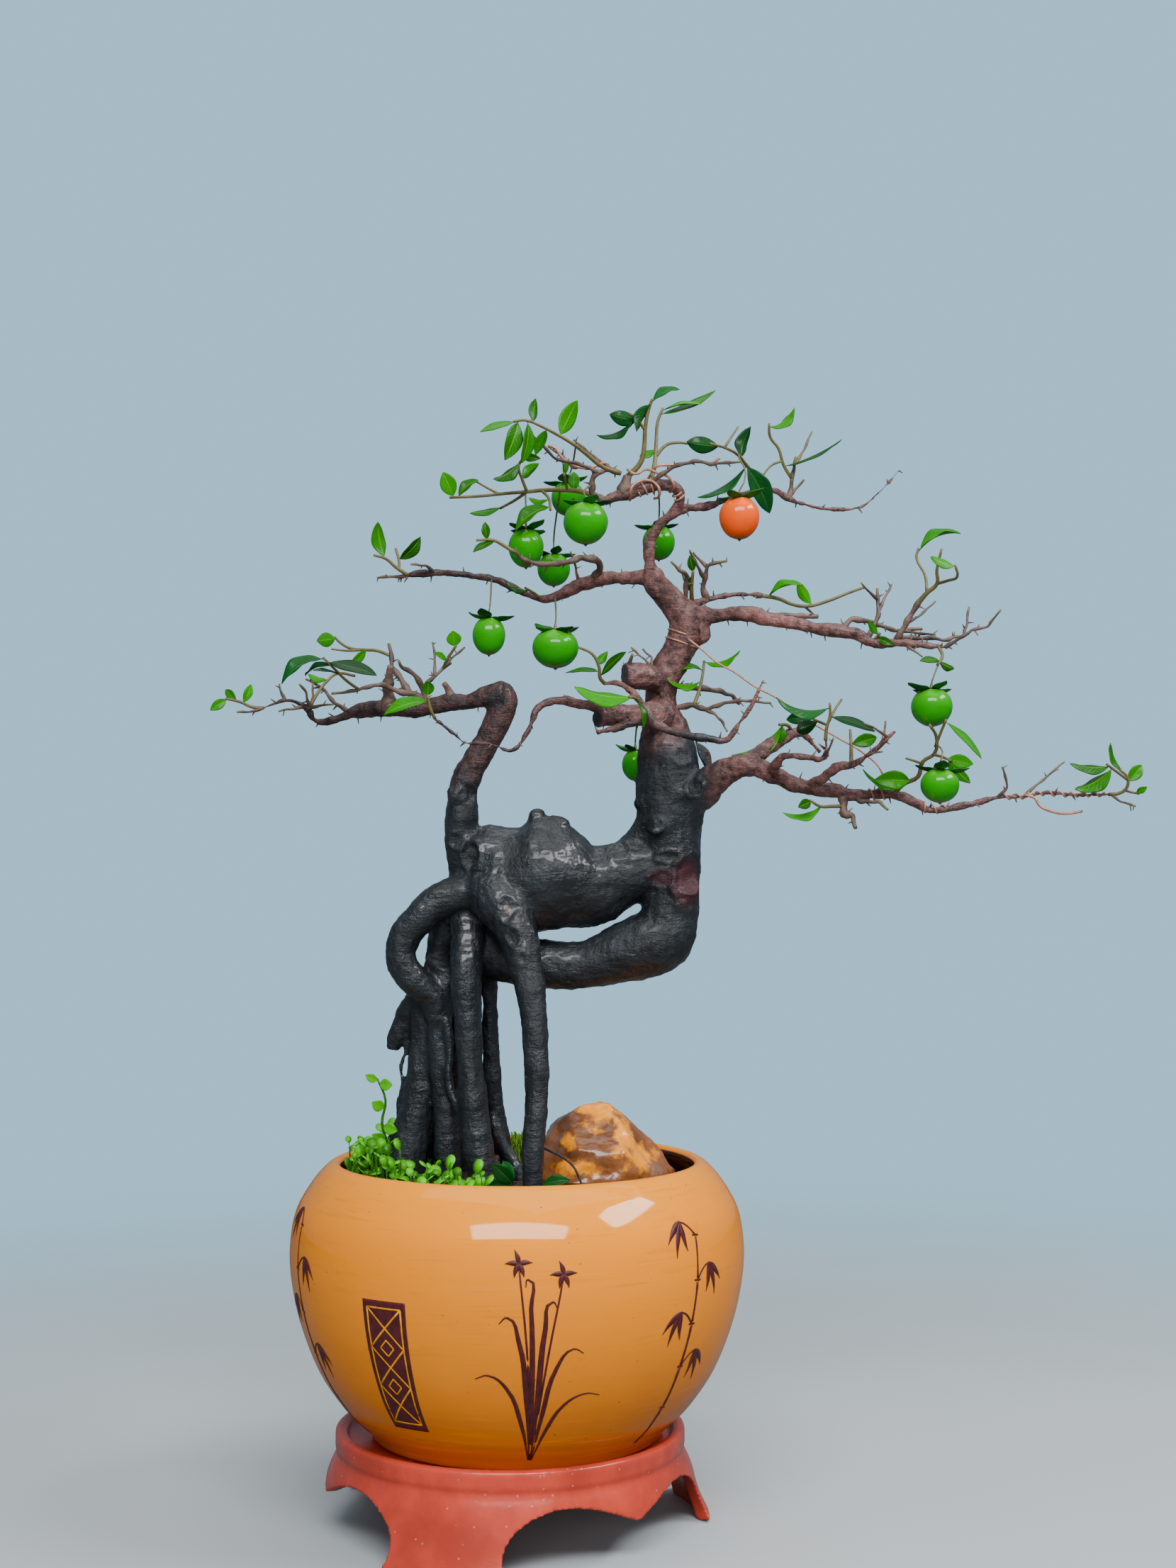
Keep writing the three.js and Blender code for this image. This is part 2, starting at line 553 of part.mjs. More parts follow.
// The main bare twigs, as the route in x and z, the radius at the root and at the tip, and the lean
const TWIGS = [
  [[[-77, 478], [-77.5, 490], [-76, 500]], 4, 1.8, -6],
  [[[-62, 478], [-65, 485], [-70, 493], [-75, 499], [-75.5, 508], [-77, 513]], 2.2, 1, 10],
  [[[-54, 480], [-57, 487], [-59, 491], [-63, 496], [-69, 499], [-71, 503]], 2, 0.9, -12],
  [[[-58, 479], [-62, 483], [-72, 485], [-80, 488.5], [-86, 488.5], [-96, 485.5],
   [-111, 483.5]], 2, 0.8, -9], [[[-100, 473], [-109, 478], [-115, 485], [-120, 489],
   [-126, 492]], 1.4, 0.7, 14], [[[-124, 473], [-122, 481], [-122, 489.5]], 1.1, 0.7, 5],
  [[[-138, 479.5], [-141, 485], [-142, 489]], 0.9, 0.6, 5],
  [[[-56, 480], [-55, 489], [-47, 496], [-44, 499], [-40, 501.5]], 1.3, 0.7, 13],
  [[[-50, 493.6], [-49.5, 505], [-51, 514]], 0.9, 0.6, 7],
  [[[-44, 499], [-38, 506], [-32, 511]], 0.8, 0.6, 9],
  [[[-151, 475], [-158, 473], [-167, 472.5]], 0.9, 0.6, -6],
  [[[-67, 553.6], [-77, 553], [-84, 552.5]], 1.1, 0.6, 2],
  [[[-50, 556], [-55, 560], [-64, 560.5]], 1.1, 0.6, -7],
  [[[45, 551], [48, 557], [47.5, 562], [43, 564.2], [37, 564.5], [30, 562], [20, 561], [10, 561],
    [4, 563], [-4, 569]], 2.4, 1.2, -34],
  [[[62, 603], [64, 609], [65, 613.5]], 4, 2.6, 0],
  [[[51, 598.5], [44, 603.5], [43.5, 610], [46, 615], [53, 617], [61, 615]], 2, 1.5, -4],
  [[[162, 601], [162.5, 607], [163.5, 614], [165.5, 625]], 1.5, 0.9, 2],
  [[[165.2, 621], [169, 627], [172, 634], [175, 640]], 0.9, 0.6, 7],
  [[[160, 600], [165, 605], [170, 611]], 1.2, 0.7, 9],
  [[[74, 607], [82, 612], [92, 619], [105, 622.5], [115, 620.5], [124, 621.5], [132, 622]], 1.5, 0.8, -15],
  [[[45, 613], [44, 618], [33, 619], [25, 626], [18, 631]], 1.2, 0.7, 9],
  [[[58, 616], [45, 625], [33, 635]], 1.1, 0.7, 16],
  [[[48, 617], [35, 621], [22, 624], [14, 632], [5, 641]], 1.2, 0.7, -14],
  [[[142, 530.5], [150, 530.3], [165, 529.5], [178, 529.5]], 2.2, 1.4, 9],
  [[[192, 523], [198, 528], [206, 527], [215, 524], [225, 521], [240, 522]], 1.9, 1, 11],
  [[[222, 514], [228, 517], [236, 516.5], [245, 516.5], [253, 515.5], [262, 517.5]], 1.5, 1, 14],
  [[[254, 511], [262, 516], [270, 521], [279, 523.5], [287, 533.5]], 1.2, 0.6, -6],
  [[[224, 514], [228, 521], [233, 530], [239, 539.5]], 2, 1.6, -5],
  [[[207, 516], [211, 523], [214, 531], [214, 540], [213.5, 546]], 1.5, 0.9, 9],
  [[[214, 532], [217.5, 540], [222, 548.5]], 1, 0.6, 11],
  [[[231, 525], [239, 530], [248, 538.5]], 1, 0.6, 11],
  [[[112, 539.5], [110, 546], [111, 553], [113, 560], [124, 562.5]], 2, 0.8, -8],
  [[[110, 552], [106, 560], [102, 569]], 1.2, 0.7, -12],
  [[[100, 532], [99.5, 547], [100, 554], [96, 557], [91, 562]], 1.6, 0.8, -12],
  [[[90, 488], [101, 487.2], [110, 486.5], [120, 485], [127, 482], [131, 477.5]], 2, 1, 30],
  [[[91, 476], [103, 476.5], [112, 474], [122, 478], [132, 479.5], [150, 478]], 1.8, 0.7, -17],
  [[[88, 461], [86, 474], [85, 483], [83, 493], [77, 502], [67, 511]], 1.2, 0.6, -6],
  [[[64, 494], [66, 501], [68, 507]], 2, 0.9, -4],
  [[[216, 454], [217.5, 461], [218, 467]], 1, 0.6, 6],
  [[[206, 446], [211, 448.5], [216, 449]], 1, 0.6, -8],
  [[[193, 425], [193, 412], [198, 410.5], [200, 403.5]], 2.8, 1.2, -7],
  [[[200, 423], [203, 419.5], [214, 419], [219, 414.5]], 1.5, 0.8, -10],
  [[[300, 423], [306, 428], [313, 433.5], [324, 443]], 1, 0.6, 8],
  [[[351, 423.5], [357, 419.5], [366, 416.5]], 0.8, 0.6, -5],
];

const KNOTS = [
  // where limbs were cut or bark has swollen
  [[-30, 424, 6, -10], [-41, 422, 5.5, -12]],
  [[22, 402, 7, -8], [26, 410, 3.5, -9]],
  [[10, 405, 6, -6], [12, 413, 3, -8]],
  [[76, 416, 6, -4], [71.5, 420, 3.4, -6]],
  [[88, 404, 7, -14], [79, 405, 4, -19]],
  [[96, 424, 8, -14], [104, 425, 4, -19]],
  [[97, 366, 11, -8], [100, 371, 8.5, -15]],
  [[108, 519, 7, 3], [114, 519.5, 3.5, 2]],
];

const woodStations = [
  ...TRUNK.map((route) => limbStations(route)),
  ...ROOTS.map((route) => limbStations(route)),
  ...LIMBS.map((route) => limbStations(route, DEPTH_SPREAD)),
  ...FORKS.map((route) => limbStations(route, DEPTH_SPREAD)),
  ...TWIGS.map((twig) => twigStations(...twig)),
  ...KNOTS.map((route) => limbStations(route)),
];

// Leafy shoots. Each has shoots with their root and tip radius and lean, and leaves with the places of
// their base and tip, the width that shows and the lean.
const SPRAYS = {
  left_tip: {
    shoots: [[[[-151, 475], [-158, 475.5], [-165, 478.5], [-174, 480.5]], 1.1, 0.8, -5]],
    leaves: [
      [[-163, 478], [-158.5, 489], 5, 3],
      [[-167, 479], [-174, 486], 5, 5],
      [[-173, 480], [-183, 473.5], 6, -3],
    ],
  },
  left_high: {
    shoots: [
      [[[-74.5, 506], [-84, 509], [-91, 509.5], [-100, 510.5], [-106, 514], [-109, 517]], 1, 0.8, 9],
      [[[-92, 509.5], [-101, 509], [-111, 510]], 0.8, 0.6, -6],
    ],
    leaves: [
      [[-108, 516.5], [-120, 515], 9, -3],
      [[-90, 509.5], [-100, 500.5], 3, -6],
    ],
  },
  left_middle: {
    shoots: [[[[-95, 485.7], [-103, 492], [-109, 498], [-116, 505]], 1, 0.8, -7]],
    leaves: [
      [[-113, 502], [-84, 494.5], 7, -9],
      [[-115.5, 505], [-141, 490], 6, -8],
      [[-112, 501], [-127, 494.5], 4.5, 9],
      [[-106, 495], [-122, 497.5], 3, -10],
    ],
  },
  left_curl: {
    shoots: [[[[-124, 475], [-119, 484], [-113, 491.5], [-107, 495.5], [-97, 494]], 1.1, 0.8, 13]],
    leaves: [[[-113, 491.5], [-125, 495], 3.5, 5]],
  },
  thin_branch_tip: {
    shoots: [[[[-49, 468.5], [-52, 474], [-54, 483]], 1, 0.9, -3]],
    leaves: [
      [[-53.5, 480], [-80, 471], 7, -4],
      [[-54, 482], [-53.5, 491], 7, -4],
    ],
  },
  left_fan: {
    shoots: [[[[-45, 498], [-41.5, 505], [-37, 512]], 0.9, 0.8, -4]],
    leaves: [
      [[-37.5, 511], [-39, 521], 9, -2],
      [[-42, 503], [-50, 508], 4, -7],
    ],
  },
  upper_left_tip: {
    shoots: [
      [[[-66, 554], [-73, 559], [-79, 564], [-86, 566]], 1.3, 0.8, -7],
      [[[-71, 558], [-71, 562], [-73, 570]], 0.9, 0.8, 5],
    ],
    leaves: [
      [[-80, 564], [-84, 586], 8, -3],
      [[-72, 563], [-58, 577], 5, 4],
    ],
  },
  upper_left_front: {
    shoots: [[[[-3, 568], [-9, 572], [-15, 575], [-25, 575]], 1.3, 0.8, -4]],
    leaves: [
      [[-19, 575], [-20, 586], 5, 0],
      [[-14, 575], [-27, 568], 3.5, -8],
    ],
  },
  yellow_leaf: {
    shoots: [[[[13, 541], [9, 543.5], [4, 546.5]], 1, 0.8, -9]],
    leaves: [[[7, 545], [-8, 550.5], 3.5, -4]],
  },
  crown_right: {
    shoots: [
      [[[151, 605], [146, 609], [141, 614], [135, 621], [131, 626], [124, 630], [114, 633]], 1.3, 0.8, -36],
      [[[123, 630.5], [127, 637], [131, 643]], 0.9, 0.6, 4],
    ],
    leaves: [
      [[132.5, 624.5], [138, 643], 7.5, 5],
      [[136, 619], [107, 600], 5, 3],
      [[135, 620], [150, 591], 13, 12],
      [[120, 631.5], [100, 634], 10, -7],
    ],
  },
  crown_far_right: {
    shoots: [
      [[[163, 611], [158, 620], [155, 630], [150, 637], [149.5, 645]], 1, 0.8, -8],
      [[[157, 622], [151, 620], [145, 613]], 0.8, 0.6, -3],
    ],
    leaves: [
      [[149.8, 642], [165, 654], 4, 4],
      [[158.5, 619], [193, 635], 4, -9],
    ],
  },
  crown_top: {
    shoots: [
      [[[69, 612], [73, 622], [75, 632], [75.5, 642], [78, 655], [80, 660]], 1.8, 0.9, -5],
      [[[75, 641], [71, 647], [66, 651]], 0.9, 0.8, -5],
    ],
    leaves: [
      [[79, 658], [96, 666], 5, 4],
      [[79, 657], [70, 640], 4.5, -8],
      [[71.5, 646.5], [54, 650.5], 9, -6],
      [[70, 648], [47, 637], 4.5, 8],
    ],
  },
  crown_inner: {
    shoots: [
      [[[78, 609], [81, 620], [82, 632], [83, 646], [86, 654]], 1.7, 0.8, 14],
      [[[81.5, 625], [88, 632], [94, 633.5], [101, 633]], 1.1, 0.8, 5],
    ],
    leaves: [
      [[83, 650], [118, 665], 5, 6],
      [[85.5, 653], [109, 657], 4, -7],
      [[82, 629], [72, 625], 5, -6],
    ],
  },
  crown_left: {
    shoots: [
      [[[60, 615], [50, 619], [40, 627], [32, 633], [20, 640], [7, 646.5]], 1.5, 0.9, -22],
      [[[8, 646], [3, 647], [-3, 646]], 0.9, 0.8, -2],
    ],
    leaves: [
      [[25, 637.5], [35, 659], 9, 5],
      [[9, 645.5], [10, 660], 5, 4],
      [[-2, 646], [-23, 640], 5, -3],
      [[0, 646.5], [-8, 623], 9, -8],
      [[6, 646], [2, 621], 6, -3],
      [[16, 642], [10, 626], 6, 8],
    ],
  },
  crown_low: {
    shoots: [
      [[[50, 600], [38, 604], [28, 605], [15, 605], [5, 604], [-8, 603], [-22, 601.5], [-41, 600.5]],
        1.6, 0.8, 20],
      [[[5, 604], [2, 612], [0, 619], [3, 625]], 1, 0.8, -8],
      [[[5, 604], [-2, 599], [-11, 594]], 1, 0.8, 9],
      [[[14, 605], [18, 600], [19, 593]], 1, 0.8, -8],
      [[[29, 605], [28, 610], [27, 615]], 0.9, 0.8, -6],
      [[[-12, 602.8], [-18, 606], [-25, 610]], 0.9, 0.6, 7],
    ],
    leaves: [
      [[2.5, 624], [13, 624], 5, -4],
      [[1, 622], [-15, 611], 6, -8],
      [[2, 612], [12, 621], 4, 8],
      [[-36, 601], [-24, 611.5], 5, 5],
      [[-38, 600.5], [-45, 616], 10, -3],
      [[-10, 594.5], [-29, 591], 5, 3],
      [[18.5, 596], [-2, 581], 7, -7],
      [[18, 599.5], [6, 600], 4, 6],
      [[27.5, 613], [24, 627], 4, 3],
      [[33, 604.7], [33, 616], 7, 8],
    ],
  },
  right_upright: {
    shoots: [
      [[[237, 537], [243, 543.5], [249, 549], [249, 557], [252, 570]], 1.7, 0.8, -6],
      [[[243, 543.5], [242, 554], [237, 564], [238, 570]], 1, 0.8, 9],
      [[[249, 549.5], [256, 551], [261, 553], [260, 560]], 1, 0.8, -9],
    ],
    leaves: [
      [[238, 569], [263, 580], 4, 3],
      [[260, 559], [245, 565], 6, -6],
    ],
  },
  right_drop: {
    shoots: [[[[250, 511], [252, 506], [249, 500.5]], 1.1, 0.9, -5]],
    leaves: [
      [[250.5, 503], [238.5, 503], 4.5, -7],
      [[250, 502.5], [259, 498], 4.5, -7],
    ],
  },
  second_right: {
    shoots: [
      [[[144, 542], [155, 540], [162, 537], [171, 535.5], [185, 539], [195, 543], [206, 547]], 1.3, 0.8, 9],
      [[[170, 535.5], [174, 532], [177, 529]], 0.8, 0.6, 5],
    ],
    leaves: [
      [[148, 541.5], [169, 549], 5, -7],
      [[175, 536.5], [166, 550], 7, -8],
    ],
  },
  limb_top: {
    shoots: [[[[104, 535], [103, 546], [104, 557]], 1.5, 0.9, -10]],
    leaves: [
      [[103.3, 544], [97, 556], 5, -3],
      [[104, 555.5], [102, 566], 5, -2],
    ],
  },
  front_leaf: {
    shoots: [[[[72, 479], [69, 481], [66, 481.5]], 1.2, 1, -8]],
    leaves: [
      [[69, 481], [33, 487], 9, -7],
      [[70, 480.5], [74, 463], 4, -6],
    ],
  },
  front_stub: {
    shoots: [[[[51, 489.5], [48.5, 493], [48, 499], [44, 507], [36, 511]], 1.2, 0.8, -8]],
    leaves: [
      [[48.5, 494], [64, 508.5], 6, -9],
      [[47, 501], [53, 508.5], 5, 6],
      [[48.5, 497], [28, 496], 3.5, 8],
    ],
  },
  middle_right: {
    shoots: [[[[104, 476], [107, 484], [109, 492], [110.5, 503]], 1.2, 0.8, 8]],
    leaves: [
      [[110, 501], [132, 508.5], 4, -8],
      [[109.5, 497], [95, 497.5], 4, -8],
      [[108.5, 490], [88, 491.5], 4, -10],
    ],
  },
  fork_top: {
    shoots: [
      [[[182.3, 456], [183, 463], [185, 470], [185, 478]], 1.2, 0.8, -3],
      [[[183.5, 466], [188, 474], [192, 480]], 0.9, 0.7, 7],
      [[[183.5, 465], [178, 467], [172, 470]], 0.9, 0.8, 8],
    ],
    leaves: [
      [[184.8, 474], [153, 480], 6, -8],
      [[173, 470], [159, 468], 7, 4],
      [[178, 467], [165, 461], 8, -8],
      [[185, 470], [212, 461], 5, -6],
    ],
  },
  fork_front: {
    shoots: [[[[163, 461], [160, 464.5], [155, 465]], 1.1, 1, -8]],
    leaves: [
      [[158, 464.7], [127, 446], 3.5, -9],
      [[157, 465], [154, 453], 3.5, -3],
    ],
  },
  fork_right: {
    shoots: [[[[198, 442], [197.5, 452], [197, 462]], 1.3, 0.8, 7]],
    leaves: [[[197.5, 453], [213, 457.5], 8, 4]],
  },
  low_right: {
    shoots: [
      [[[222, 423.5], [229, 430], [237, 434], [240, 443], [247, 448], [248, 458],
   [244, 465]], 1.6, 0.9, -22], [[[240, 442], [235, 443.5], [230, 445]], 0.9, 0.7, -4],
      [[[247.6, 452], [251, 461], [254, 468]], 0.9, 0.8, -6],
      [[[246, 447.5], [251, 446], [257, 443.5]], 1, 0.8, -8],
    ],
    leaves: [
      [[233, 432], [211, 432], 11, -4],
      [[226, 427.5], [204, 438], 6, -13],
      [[254, 467], [275, 445], 5.5, -5],
      [[254, 444.7], [270, 441.5], 8, -5],
      [[255, 444.3], [268, 430], 8, -12],
    ],
  },
  right_tip: {
    shoots: [
      [[[350, 423.5], [357, 424.5], [361, 428], [361, 434], [357, 438]], 1.1, 0.8, -4],
      [[[359.5, 426], [363, 425], [368, 424]], 0.8, 0.7, 4],
      [[[361, 432.5], [355, 437], [349, 441.5]], 0.9, 0.8, -5],
    ],
    leaves: [
      [[351, 440], [327, 441.5], 6, -6],
      [[353, 438.5], [330, 426], 6, -10],
      [[360, 435], [351, 454], 5, 5],
      [[361, 431], [370, 441], 8, 4],
      [[366, 424.5], [373, 428], 4, -4],
    ],
  },
  low_drop: {
    shoots: [[[[193, 417], [186, 416.5], [179, 416.5], [173, 420]], 1.2, 0.8, -7]],
    leaves: [
      [[181, 416.5], [157, 412], 3.5, -4],
      [[174, 419.5], [166, 416], 6, -6],
    ],
  },
};

// Fruits, as the centre, the radii across and along, the depth, and the route of the stalk from the twig
const FRUITS = [
  { at: [40, 585.5], wide: 13.3, tall: 13, depth: -38, stalk: [[43.6, 608], [39, 603]] },
  { at: [29.5, 600], wide: 10, tall: 10.6, depth: 16, stalk: [[34, 633], [31, 616]] },
  { at: [4.5, 570.5], wide: 10.5, tall: 12, depth: -6, stalk: [[5, 603], [4.5, 588]] },
  { at: [21, 557.5], wide: 9.8, tall: 10, depth: 22, stalk: [[24, 603.5], [21, 575]] },
  { at: [-17.5, 518], wide: 9.8, tall: 11.6, depth: -8, stalk: [[-16, 550], [-17, 535]] },
  { at: [22, 510.5], wide: 13.8, tall: 12, depth: -20, stalk: [[22, 541], [22.3, 528]] },
  { at: [83.5, 573.5], wide: 9.7, tall: 10.5, depth: 26, stalk: [[83.5, 606], [83.8, 590]] },
  { at: [131.5, 588.5], wide: 12, tall: 13, depth: -30, stalk: [[131, 626], [134.5, 610]] },
  { at: [245.5, 475.5], wide: 12.3, tall: 11.7, depth: -28, stalk: [[250, 504], [246.5, 493]] },
  { at: [250, 429], wide: 11.5, tall: 10.5, depth: -46, stalk: [[247.7, 454], [251.5, 446]] },
  { at: [69.5, 441], wide: 8, tall: 9.5, depth: 38, stalk: [[71, 466], [69.5, 455]] },
];

// One lobe's outline from notch to notch, as its part of a quarter turn, its reach and its rise
const CALYX_LOBE = [
  [-0.5, 0.36, 1.4],
  [-0.24, 0.66, 1.6],
  [0, 1, 3],
  [0.24, 0.66, 1.6],
];

// A berry's half outline from its point up, in parts of its radii
const BERRY_OUTLINE = [
  [0, -1.04],
  [0.42, -0.89],
  [0.86, -0.45],
  [1, 0.08],
  [0.86, 0.58],
  [0.45, 0.92],
  [0, 0.97],
];

function makeBerry({ at: [x, z], wide, tall, depth }) {
  const berry = turned(BERRY_OUTLINE, BERRY_SEGMENTS);
  const scale = nearness(DEPTH_SPREAD * depth);
  berry.scale(wide * scale, wide * scale, tall * scale);
  const centre = seen(x, z, DEPTH_SPREAD * depth);
  berry.translate(centre.x, centre.y, centre.z);
  return solidOf(berry);
}

// Four pointed lobes spread over the berry, on a stalk that hangs from its twig.
function makeCalyx({ at: [x, z], wide, tall, depth, stalk }, turn) {
  const hangingDepth = DEPTH_SPREAD * depth;
  const foot = seen(x, z, hangingDepth);
  foot.z += tall * nearness(hangingDepth) + GAP;
  const reachOfLobes = CALYX_LEAST_REACH + CALYX_REACH_TO_BERRY * wide;
  const outline = [];
  for (let lobe = 0; lobe < 4; lobe += 1) {
    for (const [part, reach, rise] of CALYX_LOBE) {
      const angle = turn + (lobe + part) * (Math.PI / 2);
      const radius = reach * reachOfLobes;
      outline.push(new THREE.Vector3(radius * Math.cos(angle), radius * Math.sin(angle), rise).add(foot));
    }
  }
  const above = foot.clone();
  above.z += CALYX_THICKNESS;
  const star = new THREE.BufferGeometry().setFromPoints([...outline, foot, above]);
  const count = outline.length;
  star.setIndex(
    outline.flatMap((_, i) => {
      const next = (i + 1) % count;
      return [i, next, count + 1, next, i, count];
    }),
  );
  const stations = [
    { ...nearestGrown(stalk[0]), radius: STALK_RADIUS },
    ...stalk.slice(1).map(([stalkX, stalkZ]) => {
      return { x: stalkX, z: stalkZ, depth: hangingDepth, radius: STALK_RADIUS };
    }),
    { x, z: z + tall + CALYX_THICKNESS / 2, depth: hangingDepth, radius: 1.5 * STALK_RADIUS },
  ];
  return fuse([solidOf(star), tube(stations, 3)]);
}

// Small round-leaved plants on the soil, as the place of each tuft, and its number of leaves
const GROUND_TUFTS = {
  ground_plant_back: { from: [-88, 6], to: [-58, 40], leaves: 6, seed: 3, tall: 15 },
  ground_plant_left: { from: [-94, -22], to: [-72, -50], leaves: 7, seed: 11, tall: 16 },
  ground_plant_front: { from: [-60, -68], to: [-18, -82], leaves: 7, seed: 29, tall: 11 },
};

function seeded(seed) {
  let state = seed;
  return () => {
    state = (state * 16807) % 2147483647;
    return state / 2147483647;
  };
}

// A runner along the soil with short stems, each with one round leaf held level.
function makeGroundPlant({ from, to, leaves, seed, tall }) {
  const random = seeded(seed * 7919);
  const onSoil = (x, y) => new THREE.Vector3(x, y, soilLevelAt(x) + RUNNER_RISE);
  const side = new THREE.Vector3(0, 1, 0);
  const up = new THREE.Vector3(0, 0, 1);
  const ends = [from, to].map(([x, y]) =>
    bladeRing(onSoil(x, y), side, up, RUNNER_HALF_WIDTH, RUNNER_THICKNESS),
  );
  const solids = [skinned(from[0] < to[0] ? ends : ends.toReversed())];
  for (let i = 0; i < leaves; i += 1) {
    const part = (i + 0.5) / leaves;
    const { lerp } = THREE.MathUtils;
    const root = onSoil(lerp(from[0], to[0], part), lerp(from[1], to[1], part));
    const head = root.clone();
    head.x += (random() - 0.5) * TUFT_SPREAD;
    head.y += (random() - 0.5) * TUFT_SPREAD;
    head.z += tall * lerp(0.4, 1, random());
    const radius = SMALLEST_ROUND_LEAF + ROUND_LEAF_RANGE * random();
    solids.push(roundLeaf(root, head, radius, 2 * Math.PI * random()));
  }
  return fuse(solids);
}

// A stem that rises to its head and widens there into a round plate.
function roundLeaf(root, head, radius, angle) {
  const out = new THREE.Vector3(Math.cos(angle), Math.sin(angle), ROUND_LEAF_RISE).normalize();
  const across = new THREE.Vector3(-Math.sin(angle), Math.cos(angle), 0);
  const normal = out.clone().cross(across);
  const placeAt = (distance) => head.clone().addScaledVector(out, distance);
  const rings = [
    bladeRing(root, across, out.clone().negate(), LEAF_FOOT / 2, LEAF_FOOT),
    bladeRing(head, across, normal, STALK_RADIUS),
    bladeRing(placeAt(0.6 * radius), across, normal, radius),
    bladeRing(placeAt(1.5 * radius), across, normal, 0.9 * radius),
  ];
  return skinned(rings, placeAt(2 * radius));
}

// A climbing stem with three leaves at the bowl's left edge.
function makeVine() {
  const stations = limbStations([
    [-76, 201.5, STALK_RADIUS, -6],
    [-76, 214, STALK_RADIUS, -8],
    [-80, 230, STALK_RADIUS, -10],
    [-78, 243, STALK_RADIUS, -12],
    [-83, 256, STALK_RADIUS, -13],
  ]);
  return fuse([
    tube(stations, 3),
    leaf([-82, 253], [-74, 252], 7, -3),
    leaf([-82.5, 254], [-90, 258], 5, -2),
    leaf([-79.5, 238], [-86, 242], 7, -4),
    leaf([-79, 229], [-71, 225], 7, -5),
    leaf([-77.5, 221], [-86, 223], 6, -5),
  ]);
}

// The shaping wire, from the upper limb down to the lower right branch
const SHAPING_WIRE = [
  [101, 516, -9], [110, 509, -12], [118, 502, -13], [128, 496.5, -14], [140, 488, -15], [155, 480, -15],
  [170, 469, -15], [182, 461.5, -15], [190, 457, -14], [205, 448, -13], [215, 438, -12], [218, 425, -12],
];

function makeShapingWire() {
  return tube(SHAPING_WIRE.map(([x, z, depth]) => ({ x, z, depth, radius: WIRE_RADIUS })), 4);
}

// Assembly

const wood = fuse(woodStations.map((stations) => grow(stations)));
const swollenWood = fuse(woodStations.map((stations) => grow(stations, GAP)));

addPiece("stand", makeStand(), "stand");
addPiece("pot", makeBowl(), "bowl");
addPiece("soil", makeSoil(swollenWood, makeRock(GAP)), "soil");
addPiece("rock", makeRock(), "rock");
addPiece("trunk", cutClear(wood, makeRock(GAP), "trunk"), "wood");
addPiece("shaping_wire", cutClear(makeShapingWire(), swollenWood, "shaping_wire"), "wire");

const DARK_SPRAYS = ["crown_right", "crown_top", "fork_top", "left_middle"];
const swollenStems = [swollenWood];
for (const [name, { shoots, leaves }] of Object.entries(SPRAYS)) {
  const firstPoint = grown.length;
  const stems = shoots.map((shoot) => twigStations(...shoot));
  const shootPoints = grown.slice(firstPoint);
  const blades = leaves.map((place) => leaf(...place, shootPoints));
  const spray = fuse([...stems.map((stations) => grow(stations)), ...blades]);
  const finish = DARK_SPRAYS.includes(name) ? "darkLeaf" : "leaf";
  addPiece(`spray_${name}`, cutClear(spray, swollenWood, name), finish);
  swollenStems.push(...stems.map((stations) => grow(stations, GAP)));
}

const swollenTree = fuse(swollenStems);
FRUITS.forEach((fruit, i) => {
  const number = String(i + 1).padStart(2, "0");
  addPiece(`fruit_${number}`, makeBerry(fruit), number === "08" ? "ripeFruit" : "greenFruit");
  addPiece(`calyx_${number}`, cutClear(makeCalyx(fruit, 0.4 + i), swollenTree, `calyx ${number}`), "calyx");
});

for (const [name, tuft] of Object.entries(GROUND_TUFTS)) {
  addPiece(name, cutClear(makeGroundPlant(tuft), swollenWood, name), "groundLeaf");
}
addPiece("ground_vine", cutClear(makeVine(), swollenWood, "ground_vine"), "groundLeaf");

// The part's origin is on the surface under the stand, below the middle of the whole tree.
const whole = new THREE.Box3().setFromObject(tree);
tree.position.set(-(whole.min.x + whole.max.x) / 2, -(whole.min.y + whole.max.y) / 2, -whole.min.z);

const bonsai = new THREE.Group();
bonsai.add(tree);

export default bonsai;
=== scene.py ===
"""A fruiting dwarf persimmon bonsai in a round glazed pot on a three-legged glazed stand."""

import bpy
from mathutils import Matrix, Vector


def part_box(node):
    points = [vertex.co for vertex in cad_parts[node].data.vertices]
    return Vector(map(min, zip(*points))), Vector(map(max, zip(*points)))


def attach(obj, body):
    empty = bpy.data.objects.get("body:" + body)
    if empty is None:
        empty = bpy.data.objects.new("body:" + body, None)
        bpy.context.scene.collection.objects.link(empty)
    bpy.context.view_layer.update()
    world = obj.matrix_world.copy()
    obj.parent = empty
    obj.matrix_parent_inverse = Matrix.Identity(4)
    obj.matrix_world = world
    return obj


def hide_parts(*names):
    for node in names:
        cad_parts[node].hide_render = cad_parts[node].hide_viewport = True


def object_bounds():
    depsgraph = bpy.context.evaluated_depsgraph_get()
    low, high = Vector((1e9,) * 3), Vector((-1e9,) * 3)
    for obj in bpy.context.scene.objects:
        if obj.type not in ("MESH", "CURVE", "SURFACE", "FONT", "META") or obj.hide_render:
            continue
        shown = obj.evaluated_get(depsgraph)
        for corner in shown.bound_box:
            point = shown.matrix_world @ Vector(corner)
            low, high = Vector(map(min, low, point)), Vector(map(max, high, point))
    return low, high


bl_info = {
    "name": "Persimmon Bonsai",
    "version": (1, 0, 0),
    "blender": (4, 5, 0),
    "location": "3D View > Sidebar > Bonsai",
    "description": "Builds a fruiting bonsai, its pot, its stand and a plain studio around them",
    "category": "Add Mesh",
}

